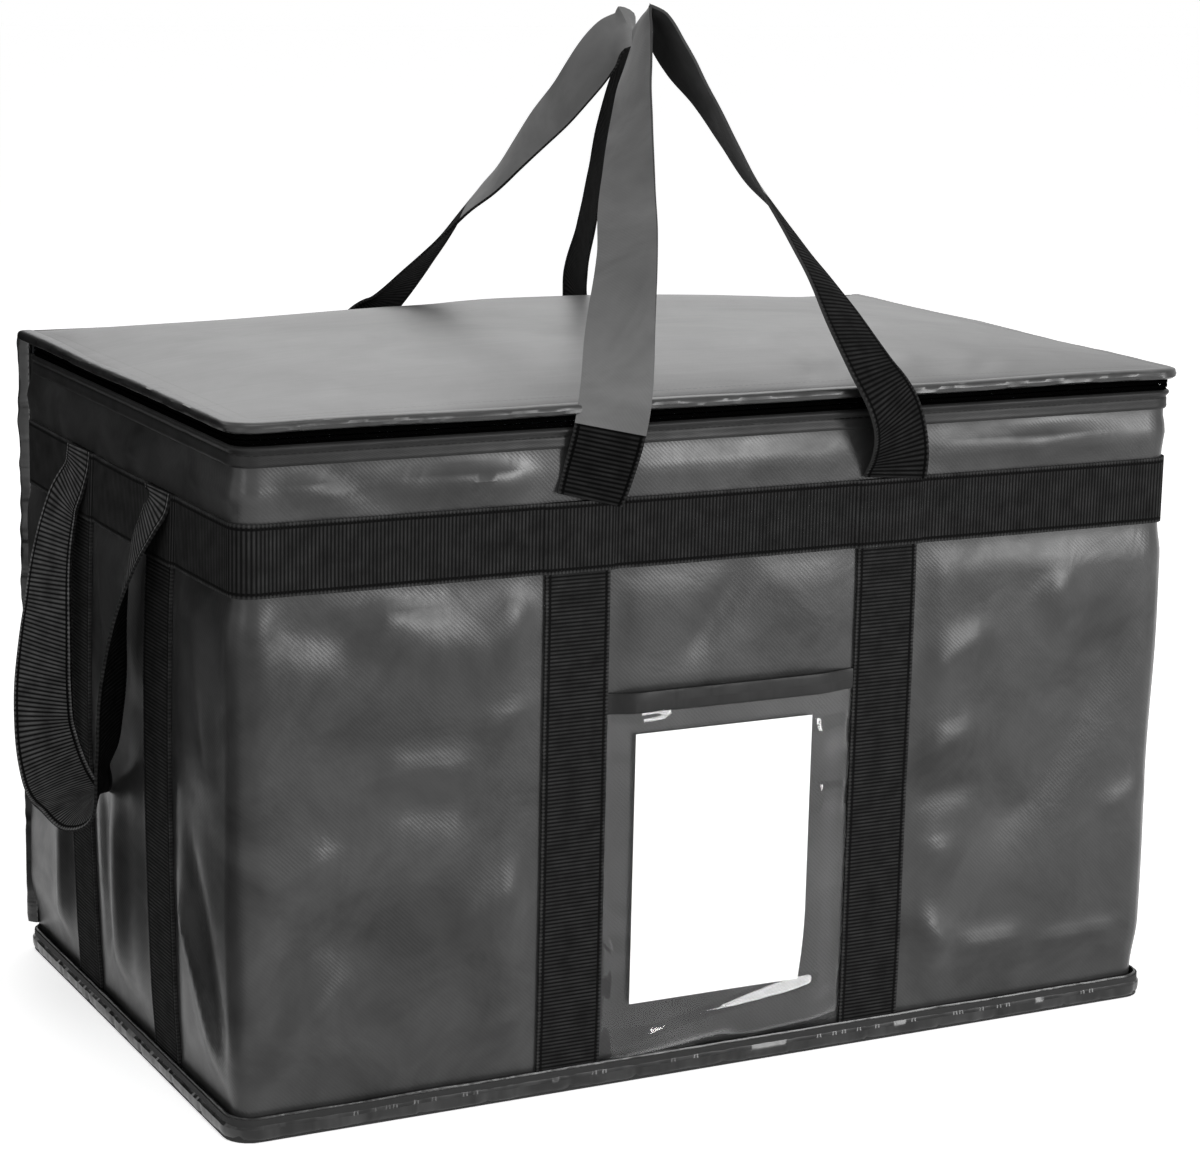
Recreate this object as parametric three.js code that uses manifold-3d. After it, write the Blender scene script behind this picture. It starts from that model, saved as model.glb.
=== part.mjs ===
// Insulated shopping bag: a foil-lined foam box in black woven fabric, with a zipped domed lid.
// Lengths are millimetres. X runs along the front, the front wall faces -Y, and Z is up.
// The origin is the middle of the underside.

import * as THREE from "three";
import { mergeVertices } from "three/addons/utils/BufferGeometryUtils.js";
import Module from "manifold-3d";

const wasm = await Module();
wasm.setup();

// Body: the outer faces of the wall fabric
const bodyWidth = 572;
const bodyDepth = 344;
const wallTop = 366;
const cornerRadius = 10;
const backCornerRadius = 3;
const sideBow = 5;

// Layers and the gap that stands between two that touch
const skinThickness = 1.2;
const foamThickness = 5;
const linerThickness = 0.8;
const webbingThickness = 1.6;
const tapeThickness = 1;
const filmThickness = 0.8;
const seatGap = 0.3;
const cutOverrun = 5;

// Underside pan and the tape bound over its turned-up edge
const panThickness = 1.5;
const panEdgeHeight = 12.3;
const tapeInnerLegBottom = 6;
const tapeOuterLegBottom = 0.8;

// Seams at the back corners, where the wall fabric stands out in a bound flange
const seamFlange = 7;
const seamStub = 0.4;
const seamBottom = 16;
const seamTopDrop = 8;
const seamStepHeight = 1;
const seamTapeStart = 0.6;

// Webbing: one band round the walls and straps down them
const webbingWidth = 38;
const bandDrop = 77;
const bandRamp = 4;
const bandEndInset = 5;
const strapBottom = 2.1;
const frontStrapCentre = 96;
const sideStrapCentre = 66;

// Rim hem on the front and side walls
const hemHeight = 14;
const hemProud = 0.5;
const hemThickness = 1.5;
const hemRidge = 0.7;
const hemEndInset = 12;

// Zipper
const zipTapeThickness = 0.6;
const zipTapeProud = 1;
const coilWidth = 2;
const coilHeight = 1.6;
const coilSeparation = 0.9;
const lidTapeWidth = 9.6;
const zipEndInset = 14;
const stopLength = 3;

// Zipper slider and its pull
const sliderLength = 9;
const sliderPlate = 1.2;
const sliderPlateHeight = 4.7;
const sliderPostLength = 2.5;
const sliderParkInset = 6;
const lugWidth = 2.4;
const lugHeight = 3.4;
const lugReach = 3.6;
const lugBoreRadius = 0.9;
const pullPinRadius = 0.6;
const pullEar = 1.2;
const pullThickness = 1.4;
const pullLength = 28;
const pullTabWidth = 7;
const pullShoulder = 2.8;

// Lid
const lidGap = 1.2;
const lidOverhang = 3;
const lidEdgeFoam = 1.5;
const lidCrown = 17;
const lidRiseLength = 30;
const lidBindingLeg = 8;
const lidFlatEdge = 10;
const lidBindingThickness = 0.9;
const lidCornerRadius = 13;
const lidRearReach = 4;
const foldRearReach = 5.5;
const foldEndInset = 6;

// Front pocket with its clear window and card
const pocketTop = 220;
const pocketHemHeight = 11;
const cardWidth = 110;
const cardHeight = 153;
const cardBottom = 44;
const cardCentreX = -5;
const cardStandOff = 3.1;
const cardThickness = 0.8;
const cardCornerRadius = 3;
const pocketRiseStart = 14;
const pocketSideRise = 13;

// Loose board in the bottom
const boardThickness = 3;
const boardClearance = 3;
const boardCornerRadius = 12;

// Carry handles, which stand up and meet over the lid
const carryApexX = 24;
const carryApexY = 22;
const carryApexRise = 207;
const carryShoulderRise = 15;
const carryShoulderStandOff = 12.5;
const leftShoulderX = 84;
const rightShoulderX = 77;
const carryRootRise = 9;
const carryApexRadius = 13;

// Side handles, which hang from the band
const sideLoopDrop = 208;
const sideLoopStandOff = 28;
const sideLoopRadius = 34;
const sideKneeDrop = 70;
const sideKneeStandOff = 17;
const sideLean = 0.08;

// Numbers of facets
const arcSteps = 4;
const sideSteps = 10;
const levelSteps = 9;
const noseSteps = 5;
const lidMiddleSteps = 4;
const handleSteps = 56;
const pinSides = 12;

// Places worked out from the sizes above
const halfWidth = bodyWidth / 2;
const halfDepth = bodyDepth / 2;
const lidRear = halfDepth + lidRearReach;
const foldRear = halfDepth + foldRearReach;
const seamTop = wallTop - seamTopDrop;
const hemTop = wallTop + hemProud;
const hemBottom = hemTop - hemHeight;
const zipTapeTop = hemTop + zipTapeProud;
const bandBottom = wallTop - bandDrop;
const carryShoulderZ = wallTop + carryShoulderRise;
const carryApexZ = wallTop + carryApexRise;
const bowSpan = halfDepth - cornerRadius;
const bowBottom = seamBottom + seamStepHeight / 2;
const diagonal = Math.SQRT1_2;
const bandTop = bandBottom + webbingWidth;
const halfWebbing = webbingWidth / 2;
const strapOuter = seatGap + webbingThickness;
const wallBottom = panThickness + seatGap;
const foamOuter = skinThickness + seatGap;
const foamInner = foamOuter + foamThickness;
const linerOuter = foamInner + seatGap;
const linerInner = linerOuter + linerThickness;
const linerFlangeTop = wallTop - seatGap;
const linerFlangeBottom = linerFlangeTop - linerThickness;
const foamTop = linerFlangeBottom - seatGap;
const floorFoamTop = wallBottom + foamThickness;
const floorLinerBottom = floorFoamTop + seatGap;
const floorLinerTop = floorLinerBottom + linerThickness;
const bindingInnerFace = strapOuter + seatGap;
const panEdgeInner = bindingInnerFace + tapeThickness + seatGap;
const panEdgeOuter = panEdgeInner + panThickness;
const bindingNoseCentre = (panEdgeInner + panEdgeOuter) / 2;
const bindingNoseInner = panThickness / 2 + seatGap;
const bindingNoseOuter = bindingNoseInner + tapeThickness;
const coilInner = seatGap + zipTapeThickness / 2 - coilWidth / 2;
const coilOuter = coilInner + coilWidth;
const bodyCoilBottom = zipTapeTop + seatGap;
const bodyCoilTop = bodyCoilBottom + coilHeight;
const lidCoilBottom = bodyCoilTop + coilSeparation;
const lidCoilTop = lidCoilBottom + coilHeight;
const lidTapeBottom = lidCoilTop + seatGap;
const lidBottom = lidTapeBottom + zipTapeThickness + lidGap;
const lidLinerTop = lidBottom + linerThickness;
const lidFoamBottom = lidLinerTop + seatGap;
const lidEdgeFoamTop = lidFoamBottom + lidEdgeFoam;
const lidSkinBottom = lidEdgeFoamTop + seatGap;
const lidEdgeTop = lidSkinBottom + skinThickness;
const lidNoseCentreZ = (lidBottom + lidEdgeTop) / 2;
const lidNoseInner = (lidEdgeTop - lidBottom) / 2 + seatGap;
const lidNoseOuter = lidNoseInner + lidBindingThickness;
const lidInnerRise = lidCrown - (foamThickness - lidEdgeFoam);
const windowInner = cardStandOff + cardThickness + seatGap;
const pocketHalf = frontStrapCentre - halfWebbing - seatGap;
const handleRoot = bandTop + seatGap;

// Finishes
const finish = (color, roughness, metalness = 0) =>
  new THREE.MeshStandardMaterial({ color, roughness, metalness });
const wovenFabric = finish(0x34343a, 0.6);
const lidFabric = finish(0x4a4a50, 0.5);
const webbingCloth = finish(0x1d1d20, 0.85);
const handleCloth = finish(0x4b4b4f, 0.8);
const bindingTape = finish(0x151517, 0.4);
const whiteFoam = finish(0xe8e8e4, 0.9);
const foil = finish(0xc9cccf, 0.3, 0.9);
const clearFilm = new THREE.MeshStandardMaterial({
  color: 0xd8dadd, roughness: 0.12, metalness: 0, transparent: true, opacity: 0.3,
});
const paper = finish(0xf4f4f1, 0.7);
const greyBoard = finish(0x5c5c5e, 0.8);
const zipCloth = finish(0x101012, 0.85);
const zipPlastic = finish(0x18181a, 0.45);
const zipMetal = finish(0x6f7276, 0.35, 0.9);

const bag = new THREE.Group();

// Adds one named piece to the bag
function addPiece(name, geometry, material) {
  const mesh = new THREE.Mesh(geometry, material);
  mesh.name = name;
  bag.add(mesh);
  return mesh;
}

// Six times the volume that the triangles enclose, negative when they face inwards
function enclosedVolume(positions, indices) {
  let total = 0;
  const corner = (index) => new THREE.Vector3().fromArray(positions, 3 * index);
  for (let start = 0; start < indices.length; start += 3) {
    const [a, b, c] = [0, 1, 2].map((step) => corner(indices[start + step]));
    total += a.dot(b.cross(c));
  }
  return total;
}

// Makes an indexed body whose faces point outwards
function outwardBody(positions, indices) {
  const turned = [...indices];
  if (enclosedVolume(positions, indices) < 0) turned.reverse();
  const geometry = new THREE.BufferGeometry();
  geometry.setAttribute("position", new THREE.Float32BufferAttribute(positions, 3));
  geometry.setIndex(turned);
  geometry.computeVertexNormals();
  return geometry;
}

// Closed sheet with two faces: point(column, row, face) returns [x, y, z], face 0 or 1
function sheetBody(columns, rows, point) {
  const positions = [];
  const indices = [];
  const faceSize = (columns + 1) * (rows + 1);
  const id = (column, row, face) => face * faceSize + column * (rows + 1) + row;
  const quad = (a, b, c, d) => indices.push(a, b, c, a, c, d);
  for (const face of [0, 1]) {
    for (let column = 0; column <= columns; column += 1) {
      for (let row = 0; row <= rows; row += 1) positions.push(...point(column, row, face));
    }
  }
  for (let column = 0; column < columns; column += 1) {
    for (let row = 0; row < rows; row += 1) {
      const [a, b] = [id(column, row, 0), id(column + 1, row, 0)];
      const [c, d] = [id(column + 1, row + 1, 0), id(column, row + 1, 0)];
      quad(a, d, c, b);
      quad(a + faceSize, b + faceSize, c + faceSize, d + faceSize);
    }
    quad(id(column, 0, 0), id(column + 1, 0, 0), id(column + 1, 0, 1), id(column, 0, 1));
    quad(id(column, rows, 1), id(column + 1, rows, 1), id(column + 1, rows, 0), id(column, rows, 0));
  }
  for (let row = 0; row < rows; row += 1) {
    quad(id(0, row + 1, 0), id(0, row, 0), id(0, row, 1), id(0, row + 1, 1));
    quad(id(columns, row, 0), id(columns, row + 1, 0), id(columns, row + 1, 1), id(columns, row, 1));
  }
  return outwardBody(positions, indices);
}

// Closed body lofted through rings of points, with capped ends unless it closes on itself
// Each section runs anticlockwise or is turned round by outwardBody with the rest of its body
function loftBody(rings, section, closed) {
  const size = section.length;
  const positions = rings.flat(2);
  const indices = [];
  const spans = closed ? rings.length : rings.length - 1;
  for (let ring = 0; ring < spans; ring += 1) {
    const here = ring * size;
    const next = ((ring + 1) % rings.length) * size;
    for (let step = 0; step < size; step += 1) {
      const after = (step + 1) % size;
      indices.push(here + step, next + step, next + after, here + step, next + after, here + after);
    }
  }
  if (!closed) {
    const contour = section.map(([across, up]) => new THREE.Vector2(across, up));
    const last = (rings.length - 1) * size;
    for (const [a, b, c] of THREE.ShapeUtils.triangulateShape(contour, [])) {
      indices.push(a, b, c);
      indices.push(last + c, last + b, last + a);
    }
  }
  return outwardBody(positions, indices);
}

// Turns a closed geometry into a solid that can be joined and cut
function toSolid(geometry) {
  const bare = geometry.clone();
  bare.deleteAttribute("normal");
  bare.deleteAttribute("uv");
  const merged = mergeVertices(bare);
  return new wasm.Manifold(new wasm.Mesh({
    numProp: 3,
    vertProperties: new Float32Array(merged.attributes.position.array),
    triVerts: new Uint32Array(merged.index.array),
  }));
}

// Turns a joined or cut solid back into a geometry
function toGeometry(solid) {
  const { vertProperties, triVerts } = solid.getMesh();
  return outwardBody([...vertProperties], [...triVerts]);
}

// Upright prism over a plan outline of [x, y] points
function prism(points, low, high) {
  const shape = new THREE.Shape(points.map(([x, y]) => new THREE.Vector2(x, y)));
  const body = new THREE.ExtrudeGeometry(shape, { depth: high - low, bevelEnabled: false });
  return body.translate(0, 0, low);
}

// Rounded rectangle plan outline
function roundedOutline(halfX, halfY, radius) {
  const outline = [];
  for (const [signX, signY, turn] of [[1, 1, 0], [-1, 1, 1], [-1, -1, 2], [1, -1, 3]]) {
    for (let step = 0; step <= arcSteps; step += 1) {
      const angle = (turn + step / arcSteps) * Math.PI / 2;
      const x = signX * (halfX - radius) + radius * Math.cos(angle);
      const y = signY * (halfY - radius) + radius * Math.sin(angle);
      outline.push([x, y]);
    }
  }
  return outline;
}

// Evenly spaced places from low to high, with extra places put in between them
function marks(low, high, steps, extras = []) {
  const even = Array.from({ length: steps + 1 }, (_, step) => low + (high - low) * step / steps);
  const inside = extras.filter((mark) => mark > low && mark < high);
  const far = even.filter((mark) => inside.every((extra) => Math.abs(extra - mark) > bandRamp));
  const kept = [low, ...far.filter((mark) => mark > low && mark < high), ...inside, high];
  return kept.sort((first, second) => first - second);
}

// Places along a wall where the band starts and stops climbing over each strap
function strapMarks(centre) {
  const edges = [-halfWebbing - bandRamp, -halfWebbing, halfWebbing, halfWebbing + bandRamp];
  return [-centre, centre].flatMap((middle) => edges.map((edge) => middle + edge));
}

// The side walls bow outwards between their corners and between their edges
const bowAlong = (y) => Math.max(0, 1 - (y / bowSpan) ** 2);
function bowUp(z) {
  const share = (z - bowBottom) / (hemBottom - bowBottom);
  return share > 0 && share < 1 ? Math.sin(Math.PI * share) : 0;
}

// Places on a side wall, sideSign -1 on the left and 1 on the right
function sideStations(sideSign, places) {
  return places.map((y) => ({
    x: sideSign * halfWidth, y, nx: sideSign, ny: 0, bow: bowAlong(y), along: y,
  }));
}

// Places on the front (frontSign -1) or back wall
function frontStations(frontSign, places) {
  return places.map((x) => ({
    x, y: frontSign * halfDepth, nx: 0, ny: frontSign, bow: 0, along: x,
  }));
}

// Places round a corner, from one quarter turn to the next
function cornerStations(signX, signY, radius, quarter) {
  const steps = Array.from({ length: arcSteps - 1 }, (_, step) => (step + 1) / arcSteps);
  return steps.map((share) => {
    const angle = (quarter + share) * Math.PI / 2;
    const [nx, ny] = [Math.cos(angle), Math.sin(angle)];
    const x = signX * (halfWidth - radius) + radius * nx;
    const y = signY * (halfDepth - radius) + radius * ny;
    return { x, y, nx, ny, bow: 0, along: null };
  });
}

// Places along the left, front and right walls, as far back as rearY
function threeSides(rearY, sideExtras = [], frontExtras = []) {
  const sidePlaces = marks(-bowSpan, rearY, sideSteps, sideExtras);
  const frontReach = halfWidth - cornerRadius;
  return [
    ...sideStations(-1, [...sidePlaces].reverse()),
    ...cornerStations(-1, -1, cornerRadius, 2),
    ...frontStations(-1, marks(-frontReach, frontReach, 1, frontExtras)),
    ...cornerStations(1, -1, cornerRadius, 3),
    ...sideStations(1, sidePlaces),
  ];
}

// Places all the way round the body, where its walls are straight
function fourSides() {
  const backReach = halfWidth - backCornerRadius;
  const rearY = halfDepth - backCornerRadius;
  const straight = threeSides(rearY).filter(({ ny, y }) => ny !== 0 || y === rearY || y === -bowSpan);
  return [
    ...straight,
    ...cornerStations(1, 1, backCornerRadius, 0),
    ...frontStations(1, [backReach, -backReach]),
    ...cornerStations(-1, 1, backCornerRadius, 1),
  ];
}

// The point that stands off the outer wall face at a station
function onWall(station, offset, z) {
  const reach = offset + sideBow * station.bow * bowUp(z);
  return [station.x + station.nx * reach, station.y + station.ny * reach, z];
}

// Sweeps an [offset, z] section along the walls
function sweepWall(stations, section, closed) {
  const rings = stations.map((station) => section.map(([offset, z]) => onWall(station, offset, z)));
  return loftBody(rings, section, closed);
}

// Plan outline of the body, moved out by an offset
function bodyOutline(offset) {
  return fourSides().map((station) => onWall({ ...station, bow: 0 }, offset, 0).slice(0, 2));
}

// Box-shaped section between two offsets and two heights
const boxSection = (near, far, low, high) => [[near, low], [far, low], [far, high], [near, high]];

// Half-round nose: points of an arc in a section, from one angle to another
function arcPoints(centreX, centreZ, radius, from, to) {
  return Array.from({ length: noseSteps + 1 }, (_, step) => {
    const angle = from + (to - from) * step / noseSteps;
    return [centreX + radius * Math.cos(angle), centreZ + radius * Math.sin(angle)];
  });
}

// A point of a back corner seam: across from the side wall's layer, out along the flange
function seamPoint(sideSign, across, out) {
  const x = sideSign * (halfWidth + diagonal * (out - across));
  const y = halfDepth + diagonal * (out + across);
  return [x, y];
}

// How far the flange stands out at a height: a stub below and above the bound seam
function flangeAt(z) {
  return z > seamBottom && z < seamTop ? seamFlange : -seamStub;
}

// Heights of the walls' rows, with a short step where the flange starts and stops
function wallLevels(top) {
  const halfStep = seamStepHeight / 2;
  const low = [wallBottom, seamBottom - halfStep];
  const high = [seamTop - halfStep, seamTop + halfStep, top];
  return [...low, ...marks(bowBottom, hemBottom, levelSteps), ...high];
}

// The seam's two layers: the side wall's has sign -1 and the back's has sign 1
function flangeEdge(sideSign, layerSign, face, z) {
  const middle = seatGap / 2;
  const across = layerSign * (face === 1 ? middle + skinThickness : middle);
  const bend = face === 1 ? -Math.abs(across) : -Math.abs(across) - Math.SQRT2 * skinThickness;
  return {
    tip: seamPoint(sideSign, across, flangeAt(z)),
    bend: seamPoint(sideSign, across, bend),
  };
}

// Wall fabric of the front and both sides, one piece that turns the front corners
function outerWrap() {
  const stations = threeSides(bowSpan);
  const levels = wallLevels(wallTop);
  const last = stations.length + 3;
  return sheetBody(last, levels.length - 1, (column, row, face) => {
    const z = levels[row];
    if (column === 0) return [...flangeEdge(-1, -1, face, z).tip, z];
    if (column === 1) return [...flangeEdge(-1, -1, face, z).bend, z];
    if (column === last - 1) return [...flangeEdge(1, -1, face, z).bend, z];
    if (column === last) return [...flangeEdge(1, -1, face, z).tip, z];
    return onWall(stations[column - 2], face === 1 ? 0 : -skinThickness, z);
  });
}
addPiece("outer_wrap", outerWrap(), wovenFabric);

// Wall fabric of the back, with its share of both corner seams
function backSkin() {
  const levels = wallLevels(wallTop);
  return sheetBody(3, levels.length - 1, (column, row, face) => {
    const z = levels[row];
    const sideSign = column < 2 ? -1 : 1;
    const edge = flangeEdge(sideSign, 1, face, z);
    return [...(column === 0 || column === 3 ? edge.tip : edge.bend), z];
  });
}
addPiece("back_skin", backSkin(), wovenFabric);

// Underside: a flat sheet with its edge turned up outside the walls
function bottomSkin() {
  const slab = toSolid(prism(bodyOutline(panEdgeOuter), 0, panEdgeHeight));
  const hollow = toSolid(prism(bodyOutline(panEdgeInner), panThickness, panEdgeHeight + cutOverrun));
  return toGeometry(slab.subtract(hollow));
}
addPiece("bottom_skin", bottomSkin(), wovenFabric);

// Tape folded over the underside's turned-up edge, all the way round
function bottomBinding() {
  const outerFace = bindingNoseCentre + bindingNoseOuter;
  const section = [
    [outerFace, tapeOuterLegBottom],
    ...arcPoints(bindingNoseCentre, panEdgeHeight, bindingNoseOuter, 0, Math.PI),
    [bindingNoseCentre - bindingNoseOuter, tapeInnerLegBottom],
    [bindingNoseCentre - bindingNoseInner, tapeInnerLegBottom],
    ...arcPoints(bindingNoseCentre, panEdgeHeight, bindingNoseInner, Math.PI, 0),
    [bindingNoseCentre + bindingNoseInner, tapeOuterLegBottom],
  ];
  return sweepWall(fourSides(), section, true);
}
addPiece("bottom_binding", bottomBinding(), bindingTape);

// Tape folded over the flange of a back corner seam
function seamBinding() {
  const inner = seatGap / 2 + skinThickness + seatGap;
  const outer = inner + tapeThickness;
  const outline = [
    [outer, seamTapeStart],
    ...arcPoints(0, seamFlange, outer, 0, Math.PI),
    [-outer, seamTapeStart],
    [-inner, seamTapeStart],
    ...arcPoints(0, seamFlange, inner, Math.PI, 0),
    [inner, seamTapeStart],
  ];
  return prism(outline, seamBottom + seamStepHeight, seamTop - seamStepHeight);
}
for (const [name, sideSign] of [["back_left_binding", -1], ["back_right_binding", 1]]) {
  const tape = addPiece(name, seamBinding(), bindingTape);
  tape.position.set(sideSign * halfWidth, halfDepth, 0);
  tape.rotation.z = -sideSign * Math.PI / 4;
}

// Foam boards of the front and back walls
function frontFoam(frontSign) {
  const reach = halfWidth - cornerRadius - foamOuter + seatGap;
  const outer = frontSign * (halfDepth - foamOuter);
  const inner = frontSign * (halfDepth - foamInner);
  const outline = [[-reach, outer], [reach, outer], [reach, inner], [-reach, inner]];
  return prism(frontSign < 0 ? outline : outline.reverse(), wallBottom, foamTop);
}
addPiece("foam_front", frontFoam(-1), whiteFoam);
addPiece("foam_back", frontFoam(1), whiteFoam);

// Foam boards of the side walls, which follow the walls' bow
function sideFoam(sideSign) {
  const places = marks(-bowSpan, bowSpan, sideSteps).map((y) => sideSign * y);
  const stations = sideStations(sideSign, places);
  const levels = wallLevels(foamTop);
  return sheetBody(stations.length - 1, levels.length - 1, (column, row, face) => {
    return onWall(stations[column], face === 1 ? -foamOuter : -foamInner, levels[row]);
  });
}
addPiece("foam_left", sideFoam(-1), whiteFoam);
addPiece("foam_right", sideFoam(1), whiteFoam);

// Foam board of the bottom
const floorFoamOutline = roundedOutline(halfWidth - linerOuter, halfDepth - linerOuter, cornerRadius);
addPiece("foam_bottom", prism(floorFoamOutline, wallBottom, floorFoamTop), whiteFoam);

// Foil liner: a tub whose rim turns out over the foam
function foilLiner() {
  const linerOutline = (inset) => roundedOutline(halfWidth - inset, halfDepth - inset, cornerRadius);
  const tub = toSolid(prism(linerOutline(linerOuter), floorLinerBottom, linerFlangeTop));
  const rim = toSolid(prism(bodyOutline(-foamOuter), linerFlangeBottom, linerFlangeTop));
  const hollow = toSolid(prism(linerOutline(linerInner), floorLinerTop, wallTop + cutOverrun));
  return toGeometry(tub.add(rim).subtract(hollow));
}
addPiece("foil_liner", foilLiner(), foil);

// Stiff board that lies loose on the liner's floor
function baseBoard() {
  const inset = linerInner + boardClearance;
  const outline = roundedOutline(halfWidth - inset, halfDepth - inset, boardCornerRadius);
  const bottom = floorLinerTop + seatGap;
  return prism(outline, bottom, bottom + boardThickness);
}
addPiece("base_board", baseBoard(), greyBoard);

// Hem sewn round the mouth, with a raised ridge along each edge
function rimHem() {
  const back = seatGap + zipTapeThickness + seatGap;
  const front = back + hemThickness;
  const middle = (hemBottom + hemTop) / 2;
  const quarter = (hemTop - hemBottom) / 4;
  const section = [
    [back, hemBottom],
    [front, hemBottom],
    [front, middle - quarter],
    [front - hemRidge, middle],
    [front, middle + quarter],
    [front, hemTop],
    [back, hemTop],
  ];
  return sweepWall(threeSides(halfDepth - hemEndInset), section, false);
}
addPiece("rim_hem", rimHem(), wovenFabric);

// How far the band's back face stands off the wall: it climbs over each strap
function bandOffset(along, centre) {
  if (along === null) return seatGap;
  const beyond = Math.abs(Math.abs(along) - centre) - halfWebbing;
  const climb = 1 - Math.min(1, Math.max(0, beyond / bandRamp));
  return seatGap + climb * (webbingThickness + seatGap);
}

// Band of webbing along a run of wall stations
function bandAlong(stations) {
  const section = boxSection(0, webbingThickness, bandBottom, bandTop);
  const rings = stations.map((station) => {
    const centre = station.nx === 0 ? frontStrapCentre : sideStrapCentre;
    const base = bandOffset(station.along, centre);
    return section.map(([offset, z]) => onWall(station, base + offset, z));
  });
  return loftBody(rings, section, false);
}
const bandStations = threeSides(
  halfDepth - bandEndInset, strapMarks(sideStrapCentre), strapMarks(frontStrapCentre),
);
addPiece("front_band", bandAlong(bandStations), webbingCloth);
const backBandReach = halfWidth - bandEndInset;
const backBandPlaces = marks(-backBandReach, backBandReach, 1, strapMarks(frontStrapCentre));
addPiece("back_band", bandAlong(frontStations(1, backBandPlaces)), webbingCloth);

// Straps that run up each wall from the bottom binding to under the band
function wallStrap(makeStations, sign, centre) {
  const places = [centre - halfWebbing, centre, centre + halfWebbing];
  const stations = makeStations(sign, places);
  const curved = stations[0].nx !== 0;
  const levels = marks(strapBottom, bandTop, curved ? levelSteps : 1);
  return sheetBody(stations.length - 1, levels.length - 1, (column, row, face) => {
    return onWall(stations[column], face === 1 ? strapOuter : seatGap, levels[row]);
  });
}
const straps = [
  ["front_left_strap", frontStations, -1, -frontStrapCentre],
  ["front_right_strap", frontStations, -1, frontStrapCentre],
  ["back_left_strap", frontStations, 1, -frontStrapCentre],
  ["back_right_strap", frontStations, 1, frontStrapCentre],
  ["left_front_strap", sideStations, -1, -sideStrapCentre],
  ["left_rear_strap", sideStations, -1, sideStrapCentre],
  ["right_front_strap", sideStations, 1, -sideStrapCentre],
  ["right_rear_strap", sideStations, 1, sideStrapCentre],
];
for (const [name, makeStations, sign, centre] of straps) {
  addPiece(name, wallStrap(makeStations, sign, centre), webbingCloth);
}

// How far the pocket window's back face stands off the wall
function windowOffset(x, z) {
  const fromSide = Math.min(1, (pocketHalf - Math.abs(x)) / pocketSideRise);
  const fromBottom = Math.min(1, Math.max(0, z - pocketRiseStart) / (cardBottom - pocketRiseStart));
  const rounded = (share) => 1 - (1 - share) ** 2;
  return seatGap + (windowInner - seatGap) * rounded(fromSide) * rounded(fromBottom);
}

// Places across the pocket, closer together near its sewn sides
function pocketPlaces() {
  const flat = pocketHalf - pocketSideRise;
  const rise = marks(flat, pocketHalf, 3);
  return [...rise.map((x) => -x).reverse(), ...rise];
}

// Clear window of the pocket, sewn at its sides and bottom and open at the top
function pocketWindow() {
  const places = pocketPlaces();
  const top = pocketTop - seatGap;
  const levels = [strapBottom, ...marks(pocketRiseStart, cardBottom, 4), top];
  return sheetBody(places.length - 1, levels.length - 1, (column, row, face) => {
    const offset = windowOffset(places[column], levels[row]) + face * filmThickness;
    return [places[column], -halfDepth - offset, levels[row]];
  });
}
addPiece("pocket_window", pocketWindow(), clearFilm);

// Strip folded over the window's upper edge
function pocketHem() {
  const low = pocketTop - pocketHemHeight;
  const capTop = pocketTop + filmThickness;
  const clear = filmThickness + seatGap;
  const front = clear + filmThickness;
  const outerLeg = [[clear, low], [front, low], [front, capTop]];
  const section = [...outerLeg, [0, capTop], [0, pocketTop], [clear, pocketTop]];
  const rings = pocketPlaces().map((x) => {
    const base = windowOffset(x, pocketTop);
    return section.map(([offset, z]) => [x, -halfDepth - base - offset, z]);
  });
  return loftBody(rings, section, false);
}
addPiece("pocket_hem", pocketHem(), bindingTape);

// Plain card that slips into the pocket
function labelCard() {
  const outline = roundedOutline(cardWidth / 2, cardHeight / 2, cardCornerRadius);
  const card = prism(outline, 0, cardThickness);
  card.rotateX(Math.PI / 2);
  return card.translate(cardCentreX, -halfDepth - cardStandOff, cardBottom + cardHeight / 2);
}
addPiece("label_card", labelCard(), paper);

// Share of a quarter turn that a handle has twisted, from 0 at its roots to 1 at its middle
const twistPowerShare = 1.6;
const twistAt = (share) => Math.PI / 2 * (1 - Math.abs(2 * share - 1)) ** twistPowerShare;

// Flat webbing along a curve: flat on the wall at both roots, and on edge to it in the middle
function webbingLoop(points, wallNormal) {
  const curve = new THREE.CatmullRomCurve3(points, false, "centripetal");
  const middle = curve.getPointAt(1 / 2).sub(points[0]);
  const upright = new THREE.Vector3(0, 0, Math.sign(middle.z));
  const sense = Math.sign(wallNormal.clone().cross(curve.getTangentAt(1 / 2)).z * middle.z);
  return sheetBody(handleSteps, 2, (column, row, face) => {
    const share = column / handleSteps;
    const centre = curve.getPointAt(share);
    const tangent = curve.getTangentAt(share);
    if (column === 0) tangent.copy(upright);
    if (column === handleSteps) tangent.copy(upright).negate();
    const away = wallNormal.clone().cross(tangent).normalize().multiplyScalar(sense);
    const flat = wallNormal.clone().addScaledVector(tangent, -wallNormal.dot(tangent)).normalize();
    const turn = twistAt(share);
    const normal = flat.multiplyScalar(Math.cos(turn)).addScaledVector(away, Math.sin(turn));
    const across = new THREE.Vector3().crossVectors(tangent, normal);
    centre.addScaledVector(across, (row - 1) * halfWebbing);
    centre.addScaledVector(normal, (face - 1 / 2) * webbingThickness);
    return centre.toArray();
  });
}

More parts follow.
